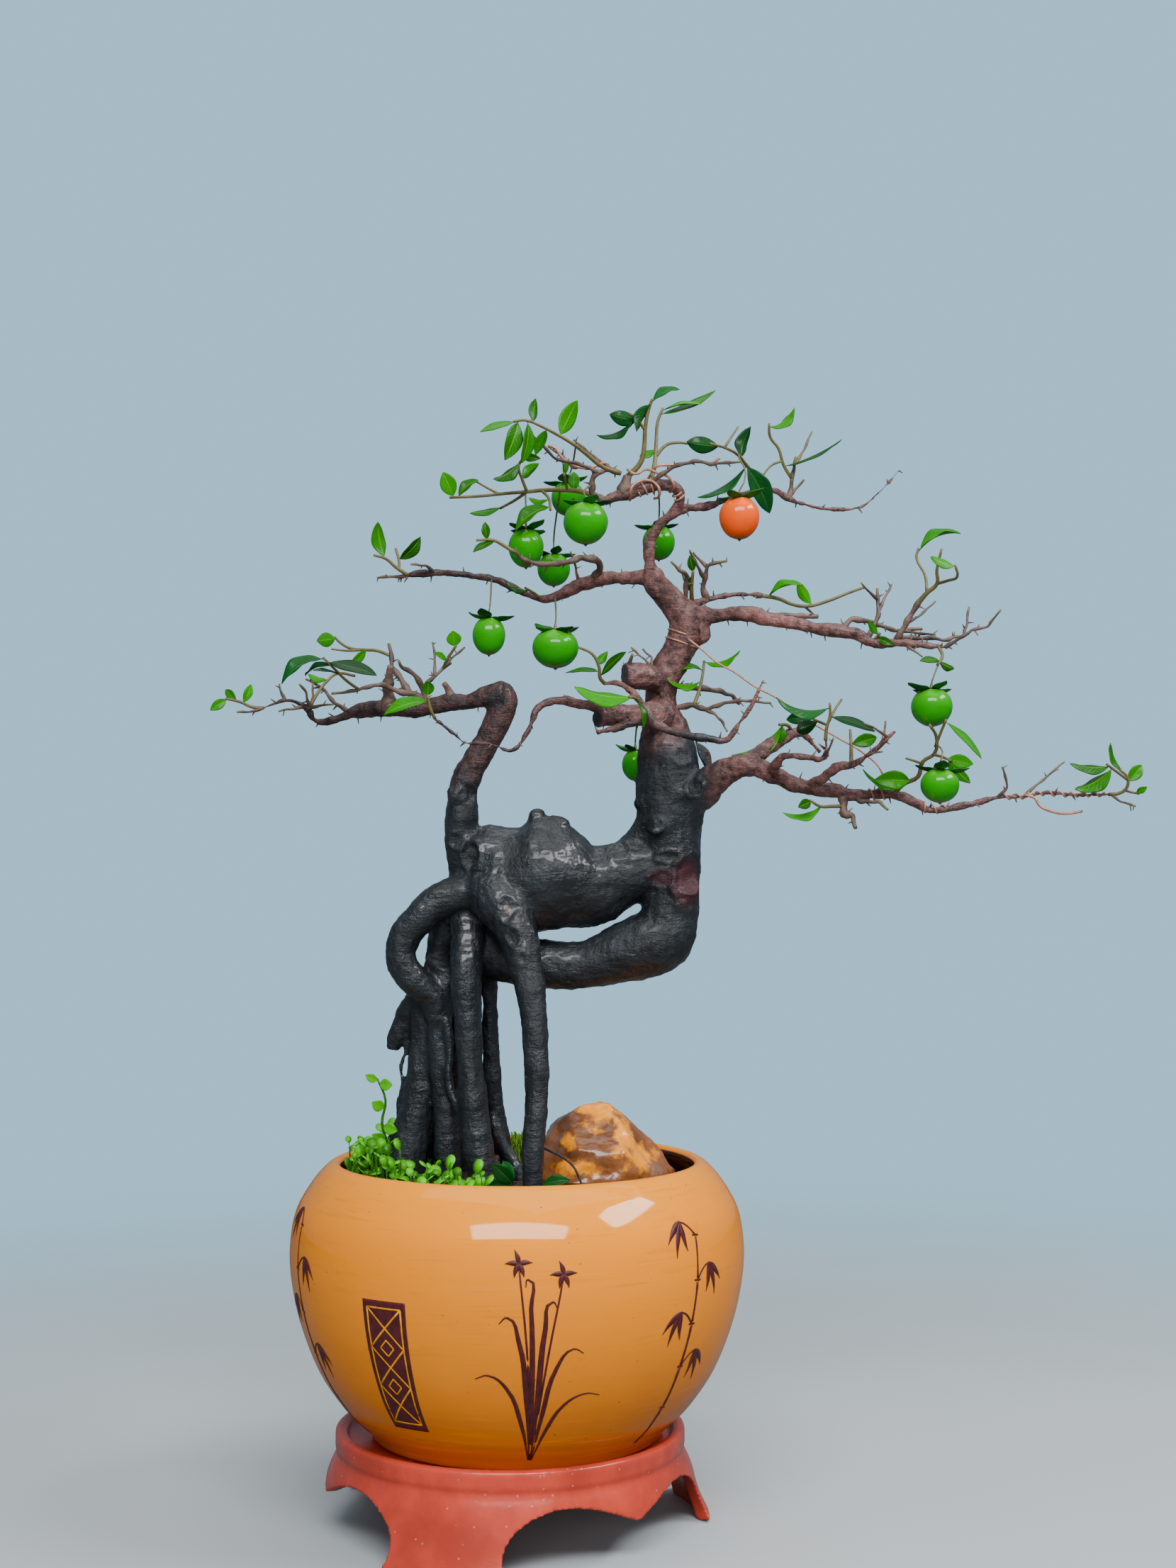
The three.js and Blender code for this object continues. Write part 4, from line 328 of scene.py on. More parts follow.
SPRAYS = {
    "left_tip": (
        [([(-151, 475), (-158, 475.5), (-165, 478.5), (-174, 480.5)], 1.1, 0.8, -5)],
        [(-163, 478, -158.5, 489, 5, 3), (-167, 479, -174, 486, 5, 5), (-173, 480, -183, 473.5, 6, -3)],
    ),
    "left_high": (
        [([(-74.5, 506), (-84, 509), (-91, 509.5), (-100, 510.5), (-106, 514), (-109, 517)], 1, 0.8, 9),
         ([(-92, 509.5), (-101, 509), (-111, 510)], 0.8, 0.6, -6)],
        [(-108, 516.5, -120, 515, 9, -3), (-90, 509.5, -100, 500.5, 3, -6)],
    ),
    "left_middle": (
        [([(-95, 485.7), (-103, 492), (-109, 498), (-116, 505)], 1, 0.8, -7)],
        [(-113, 502, -84, 494.5, 7, -9), (-115.5, 505, -141, 490, 6, -8), (-112, 501, -127, 494.5, 4.5, 9),
         (-106, 495, -122, 497.5, 3, -10)],
    ),
    "left_curl": (
        [([(-124, 475), (-119, 484), (-113, 491.5), (-107, 495.5), (-97, 494)], 1.1, 0.8, 13)],
        [(-113, 491.5, -125, 495, 3.5, 5)],
    ),
    "thin_branch_tip": (
        [([(-49, 468.5), (-52, 474), (-54, 483)], 1, 0.9, -3)],
        [(-53.5, 480, -80, 471, 7, -4), (-54, 482, -53.5, 491, 7, -4)],
    ),
    "left_fan": (
        [([(-45, 498), (-41.5, 505), (-37, 512)], 0.9, 0.8, -4)],
        [(-37.5, 511, -39, 521, 9, -2), (-42, 503, -50, 508, 4, -7)],
    ),
    "upper_left_tip": (
        [([(-66, 554), (-73, 559), (-79, 564), (-86, 566)], 1.3, 0.8, -7),
         ([(-71, 558), (-71, 562), (-73, 570)], 0.9, 0.8, 5)],
        [(-80, 564, -84, 586, 8, -3), (-72, 563, -58, 577, 5, 4)],
    ),
    "upper_left_front": (
        [([(-3, 568), (-9, 572), (-15, 575), (-25, 575)], 1.3, 0.8, -4)],
        [(-19, 575, -20, 586, 5, 0), (-14, 575, -27, 568, 3.5, -8)],
    ),
    "yellow_leaf": (
        [([(13, 541), (9, 543.5), (4, 546.5)], 1, 0.8, -9)],
        [(7, 545, -8, 550.5, 3.5, -4)],
    ),
    "crown_right": (
        [([(151, 605), (146, 609), (141, 614), (135, 621), (131, 626), (124, 630), (114, 633)], 1.3, 0.8,
          -36),
         ([(123, 630.5), (127, 637), (131, 643)], 0.9, 0.6, 4)],
        [(132.5, 624.5, 138, 643, 7.5, 5), (136, 619, 107, 600, 5, 3), (135, 620, 150, 591, 13, 12),
         (120, 631.5, 100, 634, 10, -7)],
    ),
    "crown_far_right": (
        [([(163, 611), (158, 620), (155, 630), (150, 637), (149.5, 645)], 1, 0.8, -8),
         ([(157, 622), (151, 620), (145, 613)], 0.8, 0.6, -3)],
        [(149.8, 642, 165, 654, 4, 4), (158.5, 619, 193, 635, 4, -9)],
    ),
    "crown_top": (
        [([(69, 612), (73, 622), (75, 632), (75.5, 642), (78, 655), (80, 660)], 1.8, 0.9, -5),
         ([(75, 641), (71, 647), (66, 651)], 0.9, 0.8, -5)],
        [(79, 658, 96, 666, 5, 4), (79, 657, 70, 640, 4.5, -8), (71.5, 646.5, 54, 650.5, 9, -6),
         (70, 648, 47, 637, 4.5, 8)],
    ),
    "crown_inner": (
        [([(78, 609), (81, 620), (82, 632), (83, 646), (86, 654)], 1.7, 0.8, 14),
         ([(81.5, 625), (88, 632), (94, 633.5), (101, 633)], 1.1, 0.8, 5)],
        [(83, 650, 118, 665, 5, 6), (85.5, 653, 109, 657, 4, -7), (82, 629, 72, 625, 5, -6)],
    ),
    "crown_left": (
        [([(60, 615), (50, 619), (40, 627), (32, 633), (20, 640), (7, 646.5)], 1.5, 0.9, -22),
         ([(8, 646), (3, 647), (-3, 646)], 0.9, 0.8, -2)],
        [(25, 637.5, 35, 659, 9, 5), (9, 645.5, 10, 660, 5, 4), (-2, 646, -23, 640, 5, -3),
         (0, 646.5, -8, 623, 9, -8), (6, 646, 2, 621, 6, -3), (16, 642, 10, 626, 6, 8)],
    ),
    "crown_low": (
        [([(50, 600), (38, 604), (28, 605), (15, 605), (5, 604), (-8, 603), (-22, 601.5), (-41, 600.5)],
          1.6, 0.8, 20),
         ([(5, 604), (2, 612), (0, 619), (3, 625)], 1, 0.8, -8),
         ([(5, 604), (-2, 599), (-11, 594)], 1, 0.8, 9),
         ([(14, 605), (18, 600), (19, 593)], 1, 0.8, -8),
         ([(29, 605), (28, 610), (27, 615)], 0.9, 0.8, -6),
         ([(-12, 602.8), (-18, 606), (-25, 610)], 0.9, 0.6, 7)],
        [(2.5, 624, 13, 624, 5, -4), (1, 622, -15, 611, 6, -8), (2, 612, 12, 621, 4, 8),
         (-36, 601, -24, 611.5, 5, 5), (-38, 600.5, -45, 616, 10, -3), (-10, 594.5, -29, 591, 5, 3),
         (18.5, 596, -2, 581, 7, -7), (18, 599.5, 6, 600, 4, 6), (27.5, 613, 24, 627, 4, 3),
         (33, 604.7, 33, 616, 7, 8)],
    ),
    "right_upright": (
        [([(237, 537), (243, 543.5), (249, 549), (249, 557), (252, 570)], 1.7, 0.8, -6),
         ([(243, 543.5), (242, 554), (237, 564), (238, 570)], 1, 0.8, 9),
         ([(249, 549.5), (256, 551), (261, 553), (260, 560)], 1, 0.8, -9)],
        [(238, 569, 263, 580, 4, 3), (260, 559, 245, 565, 6, -6)],
    ),
    "right_drop": (
        [([(250, 511), (252, 506), (249, 500.5)], 1.1, 0.9, -5)],
        [(250.5, 503, 238.5, 503, 4.5, -7), (250, 502.5, 259, 498, 4.5, -7)],
    ),
    "right_small": (
        [([(210, 515), (213, 517), (215, 519.5)], 1, 0.8, -3)],
        [(213, 516.5, 223, 512.5, 5, -4), (214, 518, 208, 527, 4, -3)],
    ),
    "second_right": (
        [([(144, 542), (155, 540), (162, 537), (171, 535.5), (185, 539), (195, 543), (206, 547)], 1.3, 0.8,
          9),
         ([(170, 535.5), (174, 532), (177, 529)], 0.8, 0.6, 5)],
        [(148, 541.5, 169, 549, 5, -7), (175, 536.5, 166, 550, 7, -8)],
    ),
    "limb_top": (
        [([(104, 535), (103, 546), (104, 557)], 1.5, 0.9, -10)],
        [(103.3, 544, 97, 556, 5, -3), (104, 555.5, 102, 566, 5, -2)],
    ),
    "front_leaf": (
        [([(72, 479), (69, 481), (66, 481.5)], 1.2, 1, -8)],
        [(69, 481, 33, 487, 9, -7), (70, 480.5, 74, 463, 4, -6)],
    ),
    "front_stub": (
        [([(51, 489.5), (48.5, 493), (48, 499), (44, 507), (36, 511)], 1.2, 0.8, -8)],
        [(48.5, 494, 64, 508.5, 6, -9), (47, 501, 53, 508.5, 5, 6), (48.5, 497, 28, 496, 3.5, 8)],
    ),
    "middle_right": (
        [([(104, 476), (107, 484), (109, 492), (110.5, 503)], 1.2, 0.8, 8)],
        [(110, 501, 132, 508.5, 4, -8), (109.5, 497, 95, 497.5, 4, -8), (108.5, 490, 88, 491.5, 4, -10)],
    ),
    "fork_top": (
        [([(182.3, 456), (183, 463), (185, 470), (185, 478)], 1.2, 0.8, -3),
         ([(183.5, 466), (188, 474), (192, 480)], 0.9, 0.7, 7),
         ([(183.5, 465), (178, 467), (172, 470)], 0.9, 0.8, 8)],
        [(184.8, 474, 153, 480, 6, -8), (173, 470, 159, 468, 7, 4), (178, 467, 165, 461, 8, -8),
         (185, 470, 212, 461, 5, -6)],
    ),
    "fork_front": (
        [([(163, 461), (160, 464.5), (155, 465)], 1.1, 1, -8)],
        [(158, 464.7, 127, 446, 3.5, -9), (157, 465, 154, 453, 3.5, -3)],
    ),
    "fork_right": (
        [([(198, 442), (197.5, 452), (197, 462)], 1.3, 0.8, 7)],
        [(197.5, 453, 213, 457.5, 8, 4)],
    ),
    "low_right": (
        [([(222, 423.5), (229, 430), (237, 434), (240, 443), (247, 448), (248, 458), (244, 465)], 1.6, 0.9,
          -22),
         ([(240, 442), (235, 443.5), (230, 445)], 0.9, 0.7, -4),
         ([(247.6, 452), (251, 461), (254, 468)], 0.9, 0.8, -6),
         ([(246, 447.5), (251, 446), (257, 443.5)], 1, 0.8, -8)],
        [(233, 432, 211, 432, 11, -4), (226, 427.5, 204, 438, 6, -13), (254, 467, 275, 445, 5.5, -5),
         (254, 444.7, 270, 441.5, 8, -5), (255, 444.3, 268, 430, 8, -12)],
    ),
    "right_tip": (
        [([(350, 423.5), (357, 424.5), (361, 428), (361, 434), (357, 438)], 1.1, 0.8, -4),
         ([(359.5, 426), (363, 425), (368, 424)], 0.8, 0.7, 4),
         ([(361, 432.5), (355, 437), (349, 441.5)], 0.9, 0.8, -5)],
        [(351, 440, 327, 441.5, 6, -6), (353, 438.5, 330, 426, 6, -10), (360, 435, 351, 454, 5, 5),
         (361, 431, 370, 441, 8, 4), (366, 424.5, 373, 428, 4, -4)],
    ),
    "low_drop": (
        [([(193, 417), (186, 416.5), (179, 416.5), (173, 420)], 1.2, 0.8, -7)],
        [(181, 416.5, 157, 412, 3.5, -4), (174, 419.5, 166, 416, 6, -6)],
    ),
}

FRUITS = [
    ((40, 585.5), 13.3, 13, -38, [(43.6, 608), (39, 603)]),
    ((29.5, 600), 10, 10.6, 16, [(34, 633), (31, 616)]),
    ((4.5, 570.5), 10.5, 12, -6, [(5, 603), (4.5, 588)]),
    ((21, 557.5), 9.8, 10, 22, [(24, 603.5), (21, 575)]),
    ((-17.5, 518), 9.8, 11.6, -8, [(-16, 550), (-17, 535)]),
    ((22, 510.5), 13.8, 12, -20, [(22, 541), (22.3, 528)]),
    ((83.5, 573.5), 9.7, 10.5, 26, [(83.5, 606), (83.8, 590)]),
    ((131.5, 588.5), 12, 13, -30, [(131, 626), (134.5, 610)]),
    ((245.5, 475.5), 12.3, 11.7, -28, [(250, 504), (246.5, 493)]),
    ((250, 429), 11.5, 10.5, -46, [(247.7, 454), (251.5, 446)]),
    ((69.5, 441), 8, 9.5, 38, [(71, 466), (69.5, 455)]),
]

SHAPING_WIRE = [
    (101, 516, -9), (110, 509, -12), (118, 502, -13), (128, 496.5, -14), (140, 488, -15), (155, 480, -15),
    (170, 469, -15), (182, 461.5, -15), (190, 457, -14), (205, 448, -13), (215, 438, -12), (218, 425, -12),
]

ROCK_CORNERS = [
    (17, 225, 14), (13, 212, -6), (12, 196, -12), (16, 193, 30), (20, 229, 22), (22, 232, 6), (30, 236, 0),
    (38, 241, 6), (48, 245, 12), (55, 241, 8), (62, 236, 14), (70, 229, 12), (77, 220, 16), (85, 212, 12),
    (93, 203, 14), (94, 193, 16), (86, 193, -10), (60, 193, -26), (30, 193, -26), (36, 214, -22),
    (62, 212, -22), (78, 206, -12), (40, 236, 26), (60, 226, 34), (80, 193, 36), (40, 193, 44),
]

# The finest bare twigs, as the route in x and z, the radius at the root and at the tip, and the lean
FINE_TWIGS = [
    ([(-124, 474), (-126, 484), (-130, 489)], 1, 0.6, -6),
    ([(-124, 475), (-117, 476.5), (-110, 477)], 1, 0.6, -8),
    ([(-127, 476), (-134, 474.5), (-142, 473)], 1, 0.6, -10),
    ([(-39, 481), (-42, 486), (-44, 489.5)], 2.4, 1.7, -3),
    ([(36, 550), (34, 560), (31, 568)], 1, 0.6, -10),
    ([(225, 521), (236, 519.5), (248, 518.5)], 1, 0.6, -8),
    ([(265, 518.5), (267, 528), (268, 535)], 0.9, 0.6, 7),
    ([(214, 539), (209, 544), (204, 549.5)], 0.9, 0.6, -6),
    ([(230, 514), (235, 509), (240, 505.5)], 1, 0.6, -5),
    ([(112.5, 558), (108, 563), (104, 567.5)], 1.1, 0.7, 5),
    ([(110, 474.4), (117, 471.5), (121, 467), (124, 461)], 1.1, 0.6, -8),
    ([(80, 497.5), (79, 505), (74, 510)], 0.8, 0.6, 6),
    ([(181, 446), (184, 450), (187, 457)], 1, 0.6, -9),
    ([(220, 457.5), (213, 462), (205, 466)], 0.9, 0.6, -7),
    ([(284, 422), (290, 427.5), (288.5, 434), (287, 440)], 0.9, 0.6, -6),
]
DARK_SPRAYS = ("crown_right", "crown_top", "fork_top", "left_middle")
LEAF_WIDTH_TO_LENGTH = 0.42
# A climbing plant, its stations as a limb's, and its leaves as foot, tip, width and lean
VINE = [
    (-76, 201.5, 0.8, -6), (-76, 214, 0.8, -8), (-80, 230, 0.8, -10), (-78, 243, 0.7, -12), (-83, 256, 0.6, -13),
]
VINE_LEAVES = [
    ((-82, 253), (-74, 252), 7, -3),
    ((-82.5, 254), (-90, 258), 5, -2),
    ((-79.5, 238), (-86, 242), 7, -4),
    ((-79, 229), (-71, 225), 7, -5),
    ((-77.5, 221), (-86, 223), 6, -5),
]
# Stains as x, z, depth, the reach along each axis, and the tint
WOUND_STAINS = [
    (100.5, 371, -18, (9, 20, 13.5), (64, 28, 34)),
    (86, 374, -22, (9, 12, 5.5), (54, 26, 32)),
    (45, 469, -44, (5, 9, 6), (46, 40, 44)),
    (62, 494, -10, (5, 12, 7), (54, 44, 48)),
    (-13, 480, -14, (6, 10, 6), (40, 36, 40)),
    (-5.9, 355, -28, (2, 14, 3), (74, 54, 48)),
]
# Scars on the bark as x, z, half the width and height, the rise of the rim and the depth of the pit
BARK_SCARS = [
    (100.6, 371.3, 9, 14.5, 1.5, 0.9),
    (85.5, 373.5, 7, 5, 0.8, 0.9),
    (89.2, 386.6, 7, 4, 1.0, 0.5),
    (81.3, 405.6, 4.6, 4.2, 1.3, 1.6),
    (104.6, 427.4, 4.6, 5.6, 1.4, 1.6),
    (-5.5, 355.5, 6, 7.5, 0.7, 1.0),
    (-2.6, 339, 4, 5, 0.6, 1.0),
    (2.5, 326, 3, 3.6, 0.5, 0.6),
    (-28.2, 388, 5, 9, 1.0, 3.0),
    (-36, 396, 4, 5, 0.9, 1.6),
    (60, 390, 6, 5, 1.0, 0.9),
    (-30, 424, 5.5, 6, 0.8, 1.0),
    (97, 446, 5, 5, 0.7, 0.5),
]
# Lifted flakes of bark as x, z, depth, the tip and the width
BARK_FLAKES = [
    (105.6, 455, -6, (113.6, 437), 6),
]
# Nubs on the bark as x, z, depth, reach and rise
BARK_NUBS = [
    (11.5, 410, -6, 3.8, 4),
    (21, 407, -8, 5, 2.5),
    (27, 405, -8, 3.4, 2.6),
    (58, 391, -8, 4, 2.5),
    (72, 419, -8, 3.4, 3),
    (-34, 412, -14, 6, 1.6),
    (70, 340, -10, 5, 1.6),
    (88, 300, -16, 5, 1.2),
]
# Orange patches on the rock as x, z, depth and the reach along each axis
ROCK_PATCHES = [
    (50, 236, -2, (15, 26, 7)),
    (62, 224, -8, (5.5, 26, 12)),
    (73, 210, -12, (9, 20, 5)),
    (34, 204, -20, (13, 16, 4.5)),
    (30, 218, -12, (5, 14, 4)),
]
# Loose turns of wire in the crown and at the right tip, as x, z and depth
WIRE_LOOPS = [
    [(17.6, 631.5, -24), (21.7, 630.4, -25), (24.9, 625.8, -26), (29, 622.2, -26), (37.1, 618.5, -25),
     (45.2, 619, -23), (50.1, 621.2, -22), (53.4, 620.1, -20), (50.1, 616.8, -18), (44, 615, -16)],
    [(66.4, 599, -14), (66.6, 602, -22), (67.2, 606.2, -25), (70.4, 609.4, -23), (76.1, 611, -20),
     (81, 609.5, -21), (84, 605, -22), (83.4, 601, -18), (81, 600, -12)],
    [(64.7, 617.6, -22), (69.6, 614.7, -24), (76.1, 617.5, -22), (82.6, 615.4, -20), (89.9, 612.4, -19),
     (92.7, 607.7, -18), (90, 604, -10)],
    [(76, 610, -10), (80, 616, -16), (82.6, 619.3, -20), (90.8, 620.1, -20), (99.7, 621.2, -19),
     (107, 622.2, -18), (115.1, 621.2, -17), (120, 624.2, -16)],
    [(300, 423.5, -2), (306.3, 421.4, -4), (308.9, 417.1, -5), (315.9, 413.6, -5), (324.6, 412.2, -4),
     (334.3, 413.6, -2)],
]
# Coils as the first and last station of a limb, the turns, the clearance and the limb
WIRE_COILS = [
    (4.1, 4.75, 1.25, 0.3, 0),
    (20.2, 24.6, 9, 0.2, 5),
    (8.6, 9.6, 2.2, 0.2, 1),
    (6.1, 6.8, 2, 0.15, 1),
    (12, 13.2, 2, 0.2, 5),
    (15.4, 17, 2.2, 0.2, 5),
]
# Litter on the soil: leaves as x, z, depth, tip, width and lean, and a twig as x, z and depth
FALLEN_LEAVES = [
    (-2, 194, -88, (-15, 206), 9, -4),
    (-20, 193.5, -84, (-2, 192.5), 6, -2),
    (14, 194, -88, (31, 196.5), 6, -3),
    (-9, 208, -62, (-2, 197), 6, -6),
]
FALLEN_TWIG = [(13, 216, -34), (20, 213, -38), (26, 210, -40), (33, 204, -42), (36, 198, -44), (38.5, 192, -46)]
# Round plants as the ends of their line in x and y, their share of the leaves and their height
PLANT_GROUPS = {
    "back": ((-88, 8), (-60, 42), 0.26, 22),
    "left": ((-94, -14), (-70, -52), 0.42, 20),
    "front": ((-58, -66), (-16, -84), 0.32, 13),
}
CRUMBS = 240
RIPE_FRUIT = 8
# Moss as the middle of a clump, its reach, its height and the number of its tufts
MOSS_CLUMPS = [
    (-2, 52, 10, 20, 150),
    (-52, 30, 12, 9, 80),
    (-40, -72, 14, 4, 60),
    (58, 66, 16, 5, 70),
    (84, -30, 9, 4, 40),
]


# Growth: where each stem runs, and where its shoots and leaves start

def nearness(depth):
    return 1 - depth / EYE.y


def seen(x, z, depth=0.0):
    """A place in millimetres: a point that lies further back than the pot's axis moves along its sight line."""
    return EYE + (Vector((x, 0, z)) - EYE) * nearness(depth)


def front_view(place):
    """Where a place in millimetres shows in the plane through the pot's axis: the reverse of seen."""
    near = nearness(place.y)
    return EYE.x + (place.x - EYE.x) / near, EYE.z + (place.z - EYE.z) / near


def metres(place):
    return Vector((place.x * MM + POT_AXIS, place.y * MM, place.z * MM))


def between(start, end, part):
    return [a + (b - a) * part for a, b in zip(start, end)]


grown = []
POINTS_PER_STRETCH = 8


def remember(stations):
    """Keeps the places along a stem, so that shoots, leaves and stalks can start on it."""
    for station, following in zip(stations, stations[1:] + stations[-1:]):
        for point in range(POINTS_PER_STRETCH):
            x, z, _, depth = between(station, following, point / POINTS_PER_STRETCH)
            grown.append((x, z, depth))


def nearest_grown(place, points=None):
    return min(points or grown, key=lambda point: (point[0] - place[0]) ** 2 + (point[1] - place[1]) ** 2)


def spread_out(route, spread=DEPTH_SPREAD):
    """A route whose depths are spread further apart."""
    return [(x, z, radius, depth * spread) for x, z, radius, depth in route]


def with_radius(route, radius):
    """Stations of one radius, from a route of x, z and depth."""
    return [(x, z, radius, depth) for x, z, depth in route]


def limb_stations(route, spread=1.0):
    stations = spread_out(route, spread)
    remember(stations)
    return stations


def twig_stations(route, root_radius, tip_radius, lean):
    x, z, depth = nearest_grown(route[0])
    stations = []
    for i, (x, z) in enumerate([(x, z), *route[1:]]):
        part = i / (len(route) - 1)
        radius = root_radius + (tip_radius - root_radius) * part
        stations.append((x, z, radius, depth + DEPTH_SPREAD * lean * part))
    remember(stations)
    return stations


def leaf_matrix(place, tip, shown_width, lean, points=None):
    """The matrix that carries a leaf one long and one wide to its place, and its true width and length."""
    x, z, depth = nearest_grown(place, points)
    base = seen(x, z, depth)
    end = seen(tip[0], tip[1], depth + lean)
    along = end - base
    width = max(shown_width, LEAF_WIDTH_TO_LENGTH * along.length)
    roll = math.acos(shown_width / width)
    facing = Vector((0, -math.cos(roll), math.sin(roll)))
    if abs(along.z) > abs(along.x):
        facing = Vector((math.sin(roll), -math.cos(roll), 0))
    normal = (facing - along * (facing.dot(along) / along.length_squared)).normalized()
    across = normal.cross(along).normalized()
    turn = Matrix((along.normalized(), across, normal)).transposed().to_4x4()
    size = Matrix.Diagonal((along.length * MM, width * MM, along.length * MM, 1))
    return Matrix.Translation(metres(base)) @ turn @ size


# Modelling helpers

def deselect():
    bpy.ops.object.select_all(action="DESELECT")


def pick(*objects):
    deselect()
    for piece in objects:
        piece.select_set(True)
    bpy.context.view_layer.objects.active = objects[0]
    return objects[0]


def remove(*objects):
    pick(*objects)
    bpy.ops.object.delete()


def join(objects, name):
    pick(*objects)
    if len(objects) > 1:
        bpy.ops.object.join()
    piece = bpy.context.object
    piece.name = piece.data.name = name
    return piece


def finish_with(piece, kind, **settings):
    """Adds a modifier, sets it and applies it."""
    pick(piece)
    bpy.ops.object.modifier_add(type=kind)
    modifier = piece.modifiers[-1]
    for key, value in settings.items():
        setattr(modifier, key, value)
    bpy.ops.object.modifier_apply(modifier=modifier.name)


def edit(piece, *steps):
    """Runs edit mode operators on the whole piece, each given as (operator, settings)."""
    pick(piece)
    bpy.ops.object.mode_set(mode="EDIT")
    bpy.ops.mesh.select_mode(type="VERT")
    bpy.ops.mesh.select_all(action="SELECT")
    for step, settings in steps:
        step(**settings)
    bpy.ops.object.mode_set(mode="OBJECT")


def clean(piece):
    edit(
        piece,
        (bpy.ops.mesh.remove_doubles, {"threshold": 0.01 * MM}),
        (bpy.ops.mesh.normals_make_consistent, {"inside": False}),
    )


def thicken(piece, thickness):
    finish_with(piece, "SOLIDIFY", thickness=thickness, offset=0)


def melt(piece, cell, smoothings):
    """Melts a piece into one skin of cells so many millimetres wide, and smooths it so many times."""
    finish_with(piece, "REMESH", mode="VOXEL", voxel_size=cell * MM)
    finish_with(piece, "SMOOTH", factor=0.5, iterations=smoothings)


def lumps(place, *waves):
    """The sum of lumps, each wave given as its size and height."""
    return sum(noise.noise(place / size) * height for size, height in waves)


def loop_of(name, points):
    """A closed loop of edges through points in metres: a circle with each corner moved to its place."""
    deselect()
    bpy.ops.mesh.primitive_circle_add(vertices=len(points), radius=MM)
    piece = bpy.context.object
    piece.name = name
    for vertex, point in zip(piece.data.vertices, points):
        vertex.co = point
    return piece


def rounded(outline, per_stretch):
    """A smooth closed outline through the given points."""
    smooth = []
    count = len(outline)
    for i in range(count):
        before, start, end, after = (Vector(outline[(i + k) % count]) for k in (-1, 0, 1, 2))
        stretch = (end - start).length
        out = (end - before) * stretch / ((end - start).length + (start - before).length)
        into = (after - start) * stretch / ((end - start).length + (after - end).length)
        for k in range(per_stretch):
            t = k / per_stretch
            smooth.append(
                start * (2 * t**3 - 3 * t**2 + 1)
                + out * (t**3 - 2 * t**2 + t)
                + end * (3 * t**2 - 2 * t**3)
                + into * (t**3 - t**2)
            )
    return smooth


def turned(name, outline, steps, centre_x=0.0):
    """A closed outline of radius and height, spun about an upright axis."""
    centre = POT_AXIS + centre_x * MM
    piece = loop_of(name, [Vector((centre + radius * MM, 0, height * MM)) for radius, height in outline])
    around = {"center": (centre, 0, 0), "axis": (0, 0, 1)}
    edit(piece, (bpy.ops.mesh.spin, {"steps": steps, "angle": math.tau, **around}))
    clean(piece)
    return piece


def tubes(name, routes, sides, per_stretch=6):
    """Round tubes along stations of x, z, radius and depth, as one mesh."""
    deselect()
    bpy.ops.object.add(type="CURVE")
    piece = bpy.context.object
    piece.name = name
    curve = piece.data
    curve.dimensions = "3D"
    curve.bevel_depth = MM
    curve.bevel_resolution = max(0, sides // 2 - 2)
    curve.resolution_u = per_stretch
    curve.use_fill_caps = True
    for stations in routes:
        spline = curve.splines.new("BEZIER")
        spline.radius_interpolation = "CARDINAL"
        spline.bezier_points.add(len(stations) - 1)
        for point, (x, z, radius, depth) in zip(spline.bezier_points, stations):
            point.co = metres(seen(x, z, depth))
            point.radius = radius * nearness(depth)
            point.handle_left_type = point.handle_right_type = "AUTO"
    pick(piece)
    bpy.ops.object.convert(target="MESH")
    clean(piece)
    return piece


def move_each_vertex(piece, shift):
    """Moves every vertex along its normal by the millimetres that shift gives for its place and normal."""
    axis = Vector((POT_AXIS, 0, 0))
    normals = [vertex.normal.copy() for vertex in piece.data.vertices]
    for vertex, normal in zip(piece.data.vertices, normals):
        vertex.co += normal * shift((vertex.co - axis) / MM, normal) * MM
    piece.data.update()


def place_piece(piece, name, surfaces, nodes, smooth=True):
    """Names a finished piece, gives it its materials, keeps it in the CAD box and lets it stand for its nodes."""
    piece.name = piece.data.name = name
    pick(piece)
    bpy.ops.object.transform_apply(location=True, rotation=True, scale=True)
    low, high = CAD_BOX
    for vertex in piece.data.vertices:
        vertex.co = [min(max(place, least), most) for place, least, most in zip(vertex.co, low, high)]
    if smooth:
        bpy.ops.object.shade_smooth()
    if surfaces:
        piece.data.materials.clear()
        for surface in surfaces:
            piece.data.materials.append(surface)
    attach(piece, "root")
    if nodes:
        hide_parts(*nodes)
    return piece


# Materials

class Signal:
    """A socket of a material. Sums, products and the like of signals add the nodes that work them out."""

    def __init__(self, surface, socket):
        self.surface = surface
        self.socket = socket

    def maths(self, operation, first, second=0.0):
        return self.surface.node("Math", {"operation": operation}, {0: first, 1: second})

    def __add__(self, other):
        return self.maths("ADD", self, other)

    def __radd__(self, other):
        return self.maths("ADD", other, self)

    def __sub__(self, other):
        return self.maths("SUBTRACT", self, other)

    def __rsub__(self, other):
        return self.maths("SUBTRACT", other, self)

    def __mul__(self, other):
        return self.maths("MULTIPLY", self, other)

    def __rmul__(self, other):
        return self.maths("MULTIPLY", other, self)

    def __abs__(self):
        return self.maths("ABSOLUTE", self)

    def above(self, low, high):
        """Rises smoothly from 0 at low to 1 at high."""
        return self.surface.node(
            "MapRange",
            {"interpolation_type": "SMOOTHSTEP"},
            {"Value": self, "From Min": low, "From Max": high},
        )

    def blend(self, colour, other):
        """The first colour where this signal is 0, and the other where it is 1."""
        colours = {6: opaque(colour), 7: opaque(other)}
        return self.surface.node("Mix", {"data_type": "RGBA"}, {0: self, **colours}, output=2)

    def shades(self, colour, dark, light, low=0.3, high=0.7):
        """From a dark to a light shade of one colour, as this signal rises from low to high."""
        return self.above(low, high).blend(shade(colour, dark), shade(colour, light))


